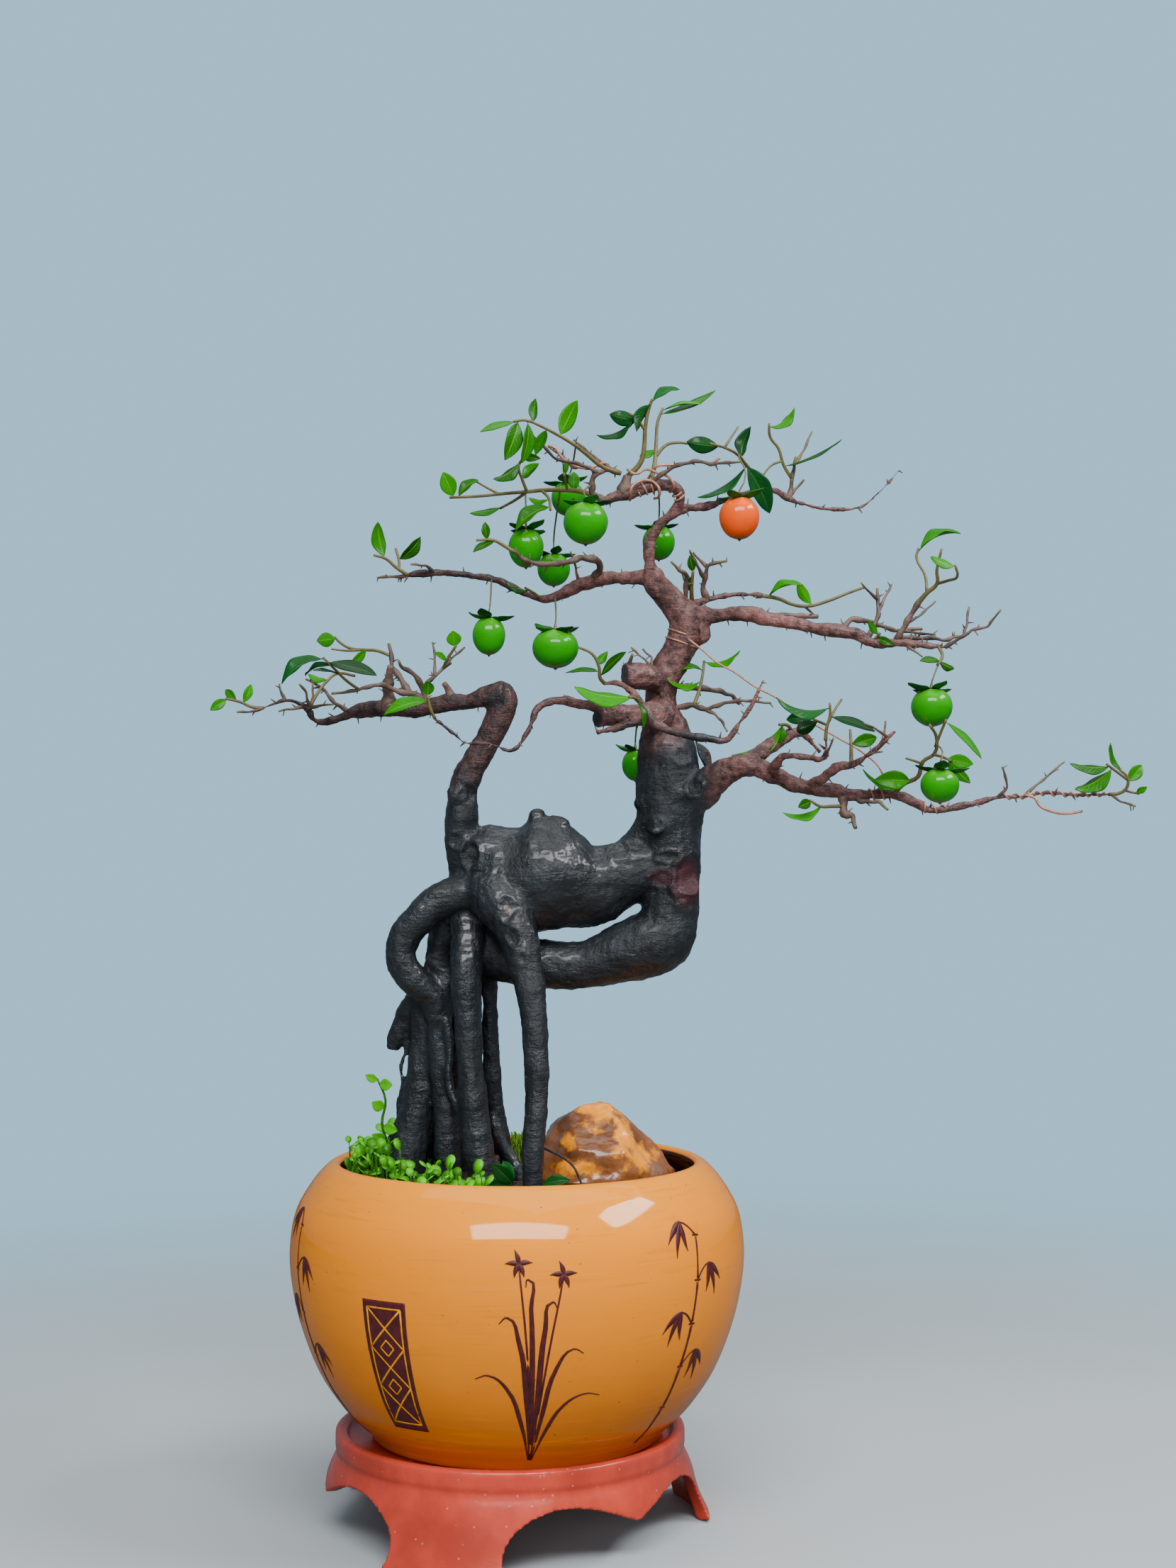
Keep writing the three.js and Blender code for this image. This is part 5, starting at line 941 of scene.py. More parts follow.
class Surface:
    """A material made of nodes."""

    def __init__(self, name):
        self.material = bpy.data.materials.new(name)
        self.material.use_nodes = True
        self.tree = self.material.node_tree
        self.tree.nodes.clear()
        self.object_place = self.node("TexCoord", output="Object")

    def node(self, kind, settings=None, inputs=None, output=0):
        node = self.tree.nodes.new("ShaderNode" + kind)
        for key, value in (settings or {}).items():
            setattr(node, key, value)
        for key, value in (inputs or {}).items():
            if isinstance(value, Signal):
                self.tree.links.new(value.socket, node.inputs[key])
            else:
                node.inputs[key].default_value = value
        return Signal(self, node.outputs[output])

    def place(self, centre=(0, 0, 0), scale=(1, 1, 1)):
        """Object coordinates in metres, moved and stretched."""
        location = [-c * s for c, s in zip(centre, scale)]
        return self.node("Mapping", None, {"Vector": self.object_place, "Location": location, "Scale": scale})

    def attribute(self, name):
        return self.node("Attribute", {"attribute_name": name}, output="Fac")

    def length(self, vector):
        return self.node("VectorMath", {"operation": "LENGTH"}, {0: vector}, output="Value")

    def axes(self, vector=None):
        separate = self.node("SeparateXYZ", None, {"Vector": vector or self.object_place})
        outputs = separate.socket.node.outputs
        return [Signal(self, outputs[i]) for i in range(3)]

    def noise(self, scale, detail=3.0, roughness=0.55, vector=None, distortion=0.0):
        """Noise from 0 to 1, with so many lumps a metre."""
        inputs = {"Vector": vector or self.object_place, "Scale": scale, "Detail": detail}
        return self.node("TexNoise", None, {**inputs, "Roughness": roughness, "Distortion": distortion})

    def cells(self, scale):
        """The distance from the middle of the nearest of so many cells a metre."""
        return self.node("TexVoronoi", None, {"Vector": self.object_place, "Scale": scale}, output="Distance")

    def away_from(self, x, z, depth, reach):
        """The distance from what shows at x and z, which is 1 on the oval of this reach in millimetres."""
        return self.length(self.place(metres(seen(x, z, depth)), [1 / (r * MM) for r in reach]))

    def finish(self, colour, roughness, height=None, bump=0.5, specular=0.5, coat=0.0, coat_roughness=0.03,
               **others):
        """The shader itself. Height is in millimetres of relief."""
        inputs = {"Base Color": colour, "Roughness": roughness, "Specular IOR Level": specular,
                  "Coat Weight": coat, "Coat Roughness": coat_roughness, **others}
        if height is not None:
            inputs["Normal"] = self.node("Bump", None, {"Height": height, "Strength": bump, "Distance": MM})
        self.shader = self.node("BsdfPrincipled", None, inputs)
        self.output(self.shader)
        return self.material

    def output(self, shader):
        node = self.tree.nodes.get("Surface output") or self.tree.nodes.new("ShaderNodeOutputMaterial")
        node.name = "Surface output"
        self.tree.links.new(shader.socket, node.inputs["Surface"])


def srgb(red, green, blue):
    """A colour as the eye reads it, 0 to 255, in the linear values that Blender's sockets take."""
    return tuple(
        c / 255 / 12.92 if c <= 10.3 else ((c / 255 + 0.055) / 1.055) ** 2.4 for c in (red, green, blue)
    )


def shade(colour, share):
    """A darker or lighter shade of a colour."""
    return tuple(min(1, c * share) for c in colour)


def opaque(colour):
    """A colour with the alpha that a socket needs. A signal is passed on as it is."""
    return colour if isinstance(colour, Signal) else (*colour, 1.0)


# Settings

def colour_property(name, description, red, green, blue):
    return FloatVectorProperty(name=name, description=description, subtype="COLOR", size=3, min=0, max=1,
                               default=srgb(red, green, blue))


def power_property(name, description, default):
    return FloatProperty(name=name, description=description, default=default, min=0, unit="POWER")


class BonsaiTreeSettings(bpy.types.PropertyGroup):
    bark: colour_property("Bark", "Colour of the trunk and the roots", 32, 37, 42)
    limb_bark: colour_property("Limb bark", "Colour of the upper limbs", 106, 70, 66)
    twig_bark: colour_property("Twig bark", "Colour of the thin twigs", 96, 76, 66)
    young_twig: colour_property("Young twig", "Colour of the youngest twigs' ends", 104, 100, 52)
    leaf: colour_property("Leaf", "Colour of the younger leaves", 44, 150, 0)
    dark_leaf: colour_property("Dark leaf", "Colour of the older leaves", 20, 84, 30)
    green_fruit: colour_property("Green fruit", "Colour of the unripe berries", 22, 146, 0)
    ripe_fruit: colour_property("Ripe fruit", "Colour of the ripe berry", 244, 84, 0)
    bark_relief: FloatProperty(name="Bark relief", description="Height of the bark's lumps in millimetres",
                               default=0.8, min=0, max=3)
    leaf_thickness: FloatProperty(name="Leaf thickness", description="Thickness of a leaf", default=0.0004,
                                  min=0.0001, max=0.002, unit="LENGTH", precision=5)


class BonsaiPotSettings(bpy.types.PropertyGroup):
    glaze: colour_property("Glaze", "Colour of the pot's glaze", 254, 146, 0)
    low_glaze: colour_property("Lower glaze", "Colour of the glaze towards the pot's foot", 214, 116, 0)
    motif: colour_property("Motif", "Colour of the incised motifs and the panel", 84, 34, 38)
    inside: colour_property("Inside", "Colour of the pot's inner wall", 92, 44, 34)
    stand: colour_property("Stand glaze", "Colour of the stand's glaze", 208, 72, 54)


class BonsaiGroundSettings(bpy.types.PropertyGroup):
    soil: colour_property("Soil", "Colour of the damp soil", 58, 42, 32)
    moss: colour_property("Moss", "Colour of the moss", 104, 150, 20)
    plant: colour_property("Ground plant", "Colour of the round leaves on the soil", 76, 172, 6)
    rock: colour_property("Rock", "Colour of the stone", 140, 84, 46)
    rock_patch: colour_property("Rock patches", "Colour of the stone's orange patches", 255, 156, 16)
    plant_leaves: IntProperty(name="Round leaves", description="Number of round leaves on the soil",
                              default=230, min=0, max=600)


class BonsaiStageSettings(bpy.types.PropertyGroup):
    floor: colour_property("Floor", "Colour of the floor", 186, 194, 196)
    wall: colour_property("Backdrop", "Colour of the backdrop", 176, 226, 252)
    soft_light: colour_property("Soft light", "Colour of the light all round", 112, 124, 136)
    front_power: power_property("Front light", "Power of the strip light in front", 40)
    side_power: power_property("Side light", "Power of the light from the right", 27)
    low_power: power_property("Low light", "Power of the low light, which leaves no reflection", 13)
    top_power: power_property("Top light", "Power of the wide light overhead", 26)


# Finishes

def bark_surface(tree):
    """Dark wet bark that turns reddish brown where the limbs start, with sealed wounds."""
    s = Surface("Bark")
    x, _, z = s.axes()
    right = x - POT_AXIS
    coarse = s.noise(34, 4)
    mottle = s.noise(150, 4, 0.65)
    flaky = s.noise(210, 5, 0.7)
    limb_start = LIMB_BARK_HEIGHT + (right + 0.03) * LIMB_BARK_SLOPE
    upper = (z - limb_start + (coarse - 0.5) * 0.05).above(-0.016, 0.012)
    outer = (right + (coarse - 0.5) * 0.02).above(LIMB_BARK_RIGHT, LIMB_BARK_RIGHT + 0.012)
    warm = 1 - (1 - outer) * (1 - upper)
    dark = (coarse * 0.6 + mottle * 0.4).shades(tree.bark, 0.35, 1.2)
    brown = (s.noise(60, 4) * 0.3 + flaky * 0.7).shades(tree.limb_bark, 0.3, 1.45, 0.38, 0.62)
    dark_brown = mottle.shades(tree.limb_bark, 0.12, 0.5, 0.36, 0.64)
    pinkish = s.noise(24, 3).above(0.54, 0.68) * right.above(0.02, 0.06)
    brown = (pinkish * 0.5).blend(brown, srgb(172, 106, 98))
    brown = (1 - right.above(-0.02, 0.05)).blend(brown, dark_brown)
    colour = warm.blend(dark, brown)
    dashes = s.noise(1, 3, 0.5, s.place(scale=(150, 150, 900))).above(0.66, 0.74)
    colour = (dashes * 0.3).blend(colour, srgb(120, 124, 126))
    for *middle, reach, tint in WOUND_STAINS:
        stain = 1 - s.away_from(*middle, reach).above(0.7, 1.3)
        colour = (stain * (0.7 + mottle * 0.5)).blend(colour, srgb(*tint))
    ridges = s.noise(1, 4, 0.6, s.place(scale=(520, 520, 120)))
    wrinkles = s.noise(1, 4, 0.6, s.place(scale=(160, 160, 800)))
    pores = s.noise(900, 4, 0.7)
    wet = s.noise(30, 3).above(0.4, 0.6) * (1 - warm * 0.6)
    height = ridges * 0.25 + wrinkles * (0.45 + warm * 0.4) + flaky * warm * 1.3 + s.noise(330, 3) + pores * 0.3
    return s.finish(colour, 0.5 - wet * 0.26 + mottle * 0.1, height, 1.0, coat=wet * 0.4, coat_roughness=0.12)


def twig_surface(tree):
    """Thin bark that turns green towards the young ends."""
    s = Surface("Twig bark")
    patches = s.noise(90, 4)
    young = (s.attribute("young") + (patches - 0.5) * 0.6).above(0.6, 0.95)
    colour = young.blend(patches.shades(tree.twig_bark, 0.5, 1.5), tree.young_twig)
    grain = s.noise(1300, 3)
    return s.finish(colour, 0.4 + grain * 0.3, s.noise(600, 4) * 0.5 + grain * 0.15, 0.9)


def leaf_surface(name, light, dark, vein):
    """A waxy leaf, lighter along the midrib and its side veins, which follow the leaf's own UV."""
    s = Surface(name)
    u, v, _ = s.axes(s.node("TexCoord", output="UV"))
    side = abs(v - 0.5) * 2
    midrib = 1 - side.above(0.02, 0.09)
    rows = s.node("Math", {"operation": "FRACT"}, {0: u * 9 - side * 2.4})
    veins = (1 - abs(rows - 0.5).above(0.0, 0.16)) * (1 - side.above(0.75, 1.0))
    blotch = s.noise(110, 3)
    colour = (s.attribute("tone") * 0.8 + blotch * 0.4 - 0.1).above(0.05, 0.95).blend(dark, light)
    colour = (veins * 0.08).blend(colour, vein)
    colour = (midrib * 0.4).blend(colour, vein)
    height = 0 - veins * 0.05 - midrib * 0.15 + s.noise(300, 2) * 0.08
    return s.finish(colour, 0.2 + blotch * 0.2, height, 0.8, specular=0.1, coat=0.08, coat_roughness=0.1,
                    **{"Subsurface Weight": 0.1, "Subsurface Radius": (0.003, 0.006, 0.001)})


def berry_surface(name, colour, top, low):
    """A smooth shiny berry, its colour shifting from the calyx to the browned tip."""
    s = Surface(name)
    along = s.attribute("along")
    cloud = s.noise(70, 3)
    skin = (along + (cloud - 0.5) * 0.3).above(0.45, 1.0).blend(colour, top)
    skin = (1 - (along + (cloud - 0.5) * 0.16).above(0.0, 0.12)).blend(skin, low)
    skin = (1 - along.above(0.0, 0.012)).blend(skin, srgb(60, 44, 20))
    dots = 1 - s.cells(620).above(0.1, 0.22)
    skin = (dots * 0.25).blend(skin, tuple(min(1, c * 1.6 + 0.02) for c in colour))
    return s.finish(skin, 0.16 + s.noise(260, 3) * 0.14, s.noise(500, 2) * 0.1, 0.3,
                    specular=0.1, coat=0.5, coat_roughness=0.08)


def pot_surface(pot):
    """Mustard glaze, deeper towards the foot, with a painted highlight band along the upper shoulder, clouds,
    specks and a dark unglazed inner wall.
    """
    s = Surface("Pot glaze")
    _, _, z = s.axes()
    cloud = s.noise(14, 4)
    low = 1 - (z + (cloud - 0.5) * 0.05).above(0.05, 0.15)
    colour = low.blend(pot.glaze, pot.low_glaze)
    # Painted highlight: the glaze is blended paler and yellower along the upper shoulder, where the light from
    # above falls.
    pale = (z + (cloud - 0.5) * 0.03).above(0.17, 0.21)
    colour = (pale * 0.3).blend(colour, srgb(255, 164, 0))
    blotch = s.noise(46, 5, 0.7).above(0.6, 0.8)
    colour = (blotch * 0.35).blend(colour, srgb(206, 92, 0))
    brushed = s.noise(1, 4, 0.6, s.place(scale=(24, 24, 420)))
    colour = ((brushed - 0.5) * 0.5).above(0.02, 0.12).blend(colour, shade(pot.glaze, 0.86))
    specks = (1 - s.cells(150).above(0.05, 0.1)) * s.noise(60, 2).above(0.5, 0.6)
    colour = (specks * 0.8).blend(colour, srgb(120, 50, 10))
    radius = s.length(s.place((POT_AXIS, 0, 0), (1, 1, 0)))
    within = 1 - (radius + (z - MOUTH_HEIGHT) * 1.15).above(MOUTH_RADIUS, MOUTH_RADIUS + 0.0012)
    inner = within * z.above(0.19, 0.192)
    colour = inner.blend(colour, s.noise(90, 4).shades(pot.inside, 0.6, 1.3))
    height = s.noise(26, 3) * 0.9 + s.noise(60, 3) * 0.5 + brushed * 0.2 + s.noise(420, 3) * 0.06
    return s.finish(colour, 0.3 + cloud * 0.14 + specks * 0.2 + inner * 0.3, height, 0.5,
                    specular=0.03, coat=0.75, coat_roughness=0.06)


def stand_surface(pot):
    """Salmon red glaze, thin and pale in places, with pale specks."""
    s = Surface("Stand glaze")
    cloud = s.noise(30, 4)
    colour = cloud.shades(pot.stand, 0.72, 1.15, 0.3, 0.72)
    thin = s.noise(85, 5, 0.7).above(0.62, 0.78)
    colour = (thin * 0.4).blend(colour, srgb(226, 128, 106))
    specks = 1 - s.cells(170).above(0.06, 0.12)
    colour = (specks * 0.4).blend(colour, srgb(236, 180, 164))
    return s.finish(colour, 0.18 + cloud * 0.16, s.noise(90, 4) * 0.5 + s.noise(500, 3) * 0.1, 0.5,
                    specular=0.3, coat=0.4, coat_roughness=0.12)


def soil_surface(ground):
    """Damp crumbly soil."""
    s = Surface("Soil")
    colour = s.noise(220, 5, 0.7).shades(ground.soil, 0.45, 1.7)
    return s.finish(colour, 0.75 + s.noise(300, 2) * 0.2, s.cells(420) * 1.6 + s.noise(900, 4) * 0.5, 0.9)


def moss_surface(ground):
    """Dull moss with dark and light tufts."""
    s = Surface("Moss")
    colour = s.noise(240, 4).shades(ground.moss, 0.45, 1.25)
    return s.finish(colour, 0.8 + s.noise(300, 2) * 0.15, s.noise(1200, 4) * 0.8, 0.9)


def rock_surface(ground):
    """Wet stone: a clear-looking brown body with bright orange patches along the crest and one flank."""
    s = Surface("Rock")
    colour = s.noise(22, 6, 0.6, distortion=0.6).shades(ground.rock, 0.35, 1.35)
    grey = s.noise(38, 4).above(0.52, 0.66)
    colour = (grey * 0.45).blend(colour, srgb(142, 112, 96))
    ragged = s.noise(75, 5, 0.65)
    patches = s.noise(24, 5, 0.6, distortion=1.2).above(0.62, 0.74)
    for patch in ROCK_PATCHES:
        inside = 1 - (s.away_from(*patch) + (ragged - 0.5) * 4.5).above(0.5, 1.4)
        patches = 1 - (1 - patches) * (1 - inside)
    colour = (patches * 0.95).blend(colour, ground.rock_patch)
    dark = s.noise(80, 4).above(0.62, 0.72)
    colour = (dark * 0.45).blend(colour, srgb(92, 46, 26))
    return s.finish(colour, 0.14 + s.noise(60, 4).above(0.4, 0.7) * 0.2,
                    s.noise(170, 4) * 0.9 + s.noise(420, 4) * 0.3, 0.9,
                    specular=0.25, coat=0.55, coat_roughness=0.06)


def round_leaf_surface(ground):
    """A tender round leaf, each leaf with its own tone."""
    s = Surface("Round leaf")
    blotch = s.noise(240, 3)
    colour = (s.attribute("tone") * 0.8 + blotch * 0.4 - 0.1).shades(ground.plant, 0.3, 1.5, 0.0, 1.0)
    return s.finish(colour, 0.26 + blotch * 0.2, s.noise(600, 3) * 0.25, 0.6, specular=0.35)


def plain_surface(name, colour, roughness, scale, **gloss):
    """One colour with a faint cloud in it, of so many lumps a metre."""
    s = Surface(name)
    cloud = s.noise(scale, 4)
    relief = s.noise(scale * 3, 3) * 0.2
    return s.finish(cloud.shades(colour, 0.75, 1.2), roughness + cloud * 0.15, relief, 0.4, **gloss)


# Operators, one for each piece or group of like pieces

def arch_outline():
    """The arch between two legs: two curves through its corners on one side, and their mirror image."""
    side = [ARCH_CORNERS[0]]
    for ends in (ARCH_CORNERS[1:5], ARCH_CORNERS[4:8]):
        for k in range(ARCH_STEPS):
            t = k / ARCH_STEPS
            weights = ((1 - t) ** 3, 3 * t * (1 - t) ** 2, 3 * t * t * (1 - t), t**3)
            side.append(tuple(sum(w * p[axis] for w, p in zip(weights, ends)) for axis in (0, 1)))
    return [*side, ARCH_CORNERS[-1], *[(-x, z) for x, z in reversed(side)]]


class BONSAI_OT_stand(bpy.types.Operator):
    """Turns the stand's ring and seat and cuts the arches between its three legs"""
    bl_idname = "bonsai.stand"
    bl_label = "Stand"

    def execute(self, context):
        stand = turned("stand_body", rounded(STAND_OUTLINE, 3), 144, STAND_CENTRE_X)
        middle = Vector((POT_AXIS + STAND_CENTRE_X * MM, 0, 0))
        cutters = []
        for angle in STAND_LEG_ANGLES:
            turn = Matrix.Rotation(math.radians(angle + LEG_HALF_PITCH), 4, "Z")
            outwards = {"value": turn @ Vector((0, -ARCH_DEPTH * MM, 0))}
            corners = [Vector((x, -ARCH_START, z)) * MM for x, z in arch_outline()]
            cutter = loop_of("arch", [middle + turn @ corner for corner in corners])
            edit(
                cutter,
                (bpy.ops.mesh.edge_face_add, {}),
                (bpy.ops.mesh.extrude_region_move, {"TRANSFORM_OT_translate": outwards}),
            )
            clean(cutter)
            cutters.append(cutter)
        for cutter in cutters:
            finish_with(stand, "BOOLEAN", operation="DIFFERENCE", solver="EXACT", object=cutter)
        remove(*cutters)
        melt(stand, STAND_CELL, 3)
        low = min(vertex.co.z for vertex in stand.data.vertices)
        for vertex in stand.data.vertices:
            if vertex.co.z < low + FOOT_BAND * MM:
                vertex.co.z = FOOT_LIFT * MM
        place_piece(stand, "glazed_stand", [stand_surface(context.scene.bonsai_pot)], ["stand"])
        return {"FINISHED"}


class BONSAI_OT_pot(bpy.types.Operator):
    """Turns the round pot with its rolled-in mouth"""
    bl_idname = "bonsai.pot"
    bl_label = "Pot"

    def execute(self, context):
        outline = [(radius * POT_FIT, height) for radius, height in rounded(BOWL_OUTLINE, 4)]
        pot = turned("pot_body", outline, 192)
        place_piece(pot, "glazed_pot", [pot_surface(context.scene.bonsai_pot)], ["pot"])
        return {"FINISHED"}


def bowl_radius(height):
    """The pot's outer radius in millimetres at a height."""
    outer = rounded(BOWL_OUTLINE, 4)[BOWL_OUTSIDE]
    for (low_radius, low), (high_radius, high) in zip(outer, outer[1:]):
        if low <= height <= high:
            return (low_radius + (high_radius - low_radius) * (height - low) / (high - low)) * POT_FIT
    raise ValueError(f"the pot's wall has no point at a height of {height} mm")


def wrap_on_pot(piece, centre_angle, lift):
    """Bends a flat piece onto the pot's wall. What lay in front of the flat plane stands proud of the wall."""
    centre = math.radians(centre_angle)
    for vertex in piece.data.vertices:
        across, front, height = (vertex.co.x - POT_AXIS) / MM, -vertex.co.y / MM, vertex.co.z / MM
        angle = centre + across / POT_WIDEST
        radius = (bowl_radius(height) + lift + min(0.16, front * 0.12)) * MM
        vertex.co = Vector((POT_AXIS + radius * math.sin(angle), -radius * math.cos(angle), height * MM))
    piece.data.update()


def line(*points):
    """A stroke on the flat, from points of place across, height and half width."""
    return [(across, height, half_width, 0) for across, height, half_width in points]


def brushed_leaf(across, height, length, direction, half_width):
    """A pointed brush stroke that sags."""
    sag = -16 if math.cos(math.radians(direction)) > 0 else 16
    points = []
    for part, share in ((0, 0.25), (0.2, 0.9), (0.45, 1), (0.75, 0.55), (1, 0.12)):
        turn = math.radians(direction + sag * part)
        points.append((across + math.cos(turn) * length * part, height + math.sin(turn) * length * part,
                       half_width * share))
    return line(*points)


def bamboo_strokes(lean):
    """A generic bamboo sprig: a jointed culm and drooping leaves at its joints."""
    strokes = []
    for joint in range(5):
        low, high = MOTIF_FOOT + 24 * joint, MOTIF_FOOT + 22 + 24 * joint
        foot, head = lean * joint, lean * (joint + 0.92)
        wide = 1.5 - 0.16 * joint
        strokes.append(line((foot, low, wide), ((foot + head) / 2, (low + high) / 2, 1.25 - 0.16 * joint),
                            (head, high, wide)))
        strokes.append(line((head - 2.6, high + 1.2, 0.6), (head + 2.6, high + 0.7, 0.6)))
        side = 1 if joint % 2 else -1
        if joint > 0:
            strokes.append(line((head, high + 1, 0.7), (head + side * 6, high + 7, 0.6),
                                (head + side * 11, high + 9, 0.5)))
            for spread, length in ((-24, 17), (-52, 20), (-80, 16)):
                direction = spread if side > 0 else 180 - spread
                strokes.append(brushed_leaf(head + side * 10, high + 9, length, direction, 1.9))
    return strokes


def grass_strokes():
    """A generic clump of flowering grass: long arching blades and small buds on thin stems."""
    foot = MOTIF_FOOT
    strokes = []
    for across, tall, wide in ((-26, 52, 1.5), (-15, 84, 1.8), (-4, 104, 1.7), (9, 92, 1.9), (21, 66, 1.6),
                               (31, 40, 1.3)):
        strokes.append(line((across * 0.05, foot - 2, wide * 0.25), (across * 0.28, foot + tall * 0.45, wide),
                            (across * 0.6, foot + tall * 0.85, wide * 0.8), (across, foot + tall, wide * 0.4),
                            (across * 1.3, foot + tall * 0.96, 0.3)))
    for across, tall in ((-9, 112), (15, 106)):
        strokes.append(line((0, foot, 0.8), (across * 0.5, foot + tall * 0.6, 0.7), (across, foot + tall, 0.6)))
        for petal in range(5):
            strokes.append(brushed_leaf(across, foot + tall, 7.5, 72 * petal + 20, 1.5))
    return strokes


def lattice_strokes():
    """The lines of the panel: a frame, two zigzags that cross, and a small lozenge between the crossings."""
    left, right, low, high = LATTICE_EDGES

    def outline(corners, half_width):
        return [line((*start, half_width), (*end, half_width)) for start, end in zip(corners, corners[1:])]

    strokes = outline([(left, low), (right, low), (right, high), (left, high), (left, low)], 0.55)
    for step in range(3):
        bottom, top = low + 22 * step, low + 22 * (step + 1)
        strokes += outline([(left, bottom), (right, top)], 0.6)
        strokes += outline([(right, bottom), (left, top)], 0.6)
        if top < high:
            strokes += outline([(-4.5, top), (0, top + 4.5), (4.5, top), (0, top - 4.5), (-4.5, top)], 0.5)
    return strokes


class BONSAI_OT_pot_motifs(bpy.types.Operator):
    """Draws the generic grass and bamboo motifs and the lattice panel on the pot's wall"""
    bl_idname = "bonsai.pot_motifs"
    bl_label = "Pot motifs"

    def execute(self, context):
        drawings = [
            (bamboo_strokes(-1.5), -64), (grass_strokes(), 6), (bamboo_strokes(1.6), 47), (grass_strokes(), 112),
            (bamboo_strokes(-1.2), 165), (grass_strokes(), 222), (bamboo_strokes(1.4), 262),
        ]
        parts = []
        for strokes, angle in drawings:
            drawing = tubes("strokes", strokes, 6, 4)
            wrap_on_pot(drawing, angle, 0.2)
            parts.append(drawing)
        deselect()
        bpy.ops.mesh.primitive_grid_add(x_subdivisions=24, y_subdivisions=48, size=1)
        panel = bpy.context.object
        for vertex in panel.data.vertices:
            x, y, _ = vertex.co
            vertex.co = Vector((POT_AXIS + x * PANEL_WIDTH * MM, 0, (PANEL_MIDDLE + y * PANEL_HEIGHT) * MM))
        wrap_on_pot(panel, PANEL_ANGLE, 0.12)
        clean(panel)
        thicken(panel, BLADE_THICKNESS * MM)
        clean(panel)
        motifs = join([*parts, panel], "motifs")
        dark = plain_surface("Motif glaze", context.scene.bonsai_pot.motif, 0.34, 220, specular=0.3)
        place_piece(motifs, "pot_motifs", [dark], ["pot"])
        lattice = tubes("lattice", lattice_strokes(), 6, 6)
        wrap_on_pot(lattice, PANEL_ANGLE, 0.6)
        pale = plain_surface("Lattice glaze", srgb(240, 150, 10), 0.3, 220, specular=0.2)
        place_piece(lattice, "panel_lattice", [pale], ["pot"])
        return {"FINISHED"}


class BONSAI_OT_soil(bpy.types.Operator):
    """Fills the pot with damp, crumbly soil"""
    bl_idname = "bonsai.soil"
    bl_label = "Soil"

    def execute(self, context):
        top = [(0.5 + radius, SOIL_LEVEL) for radius in range(0, 106, 2)]
        soil = turned("soil_body", [*top, (107, 190), (80, 180), (40, 180), (0.5, 180)], 140)
        (low, low_radius), (high, high_radius) = SOIL_WALL
        for vertex in soil.data.vertices:
            x, y, z = (vertex.co.x - POT_AXIS) / MM, vertex.co.y / MM, vertex.co.z / MM
            if z > SOIL_LEVEL - 2.5:
                crumbs = noise.noise(Vector((x, y, 0)) / 14) * 1.6 + noise.noise(Vector((x, y, 7)) / 4) * 1.1
                level = soil_level(x)
                widest = low_radius + (level - low) * (high_radius - low_radius) / (high - low) - SOIL_GAP
                shrink = min(1.0, widest / max(math.hypot(x, y), 1))
                vertex.co = Vector((POT_AXIS + x * shrink * MM, y * shrink * MM, (level - 0.6 + crumbs) * MM))
        place_piece(soil, "damp_soil", [soil_surface(context.scene.bonsai_ground)], ["soil"])
        return {"FINISHED"}


class BONSAI_OT_rock(bpy.types.Operator):
    """Shapes the wet stone from the hull of its corners"""
    bl_idname = "bonsai.rock"
    bl_label = "Rock"

    def execute(self, context):
        rock = loop_of("rock_body", [metres(seen(*corner)) for corner in ROCK_CORNERS])
        edit(rock, (bpy.ops.mesh.convex_hull, {}))
        clean(rock)
        melt(rock, ROCK_CELL, 16)
        move_each_vertex(rock, lambda place, _: lumps(place, (17, 2.2), (8, 1.1), (3, 0.3)) - 0.3)
        place_piece(rock, "wet_rock", [rock_surface(context.scene.bonsai_ground)], ["rock"])
        return {"FINISHED"}


def smooth_swell(trunk):
    """Smooths the long bulge more than the rest of the trunk."""
    swell = trunk.vertex_groups.new(name="swell")
    for vertex in trunk.data.vertices:
        x, z = front_view((vertex.co - Vector((POT_AXIS, 0, 0))) / MM)
        away = math.hypot((x - SWELL_MIDDLE[0]) / SWELL_REACH[0], (z - SWELL_MIDDLE[1]) / SWELL_REACH[1])
        if away < 1:
            swell.add([vertex.index], min(1.0, (1 - away) * 3), "REPLACE")
    finish_with(trunk, "SMOOTH", factor=0.5, iterations=60, vertex_group="swell")


def scar_relief(place, normal):
    """The rims and pits of the scars on the side that faces the photograph."""
    x, z = front_view(place)
    height = []
    for centre_x, centre_z, half_width, half_height, rim, pit in BARK_SCARS:
        away = math.hypot((x - centre_x) / half_width, (z - centre_z) / half_height)
        if away < 2:
            away += noise.noise(place / 5) * 0.3
            inside = min(1.0, max(0.0, (1.0 - away) / 0.35))
            shape = rim * math.exp(-(((away - 1.05) / 0.24) ** 2)) - pit * inside
            height.append(shape * min(1.0, -normal.y * 1.6))
    return height


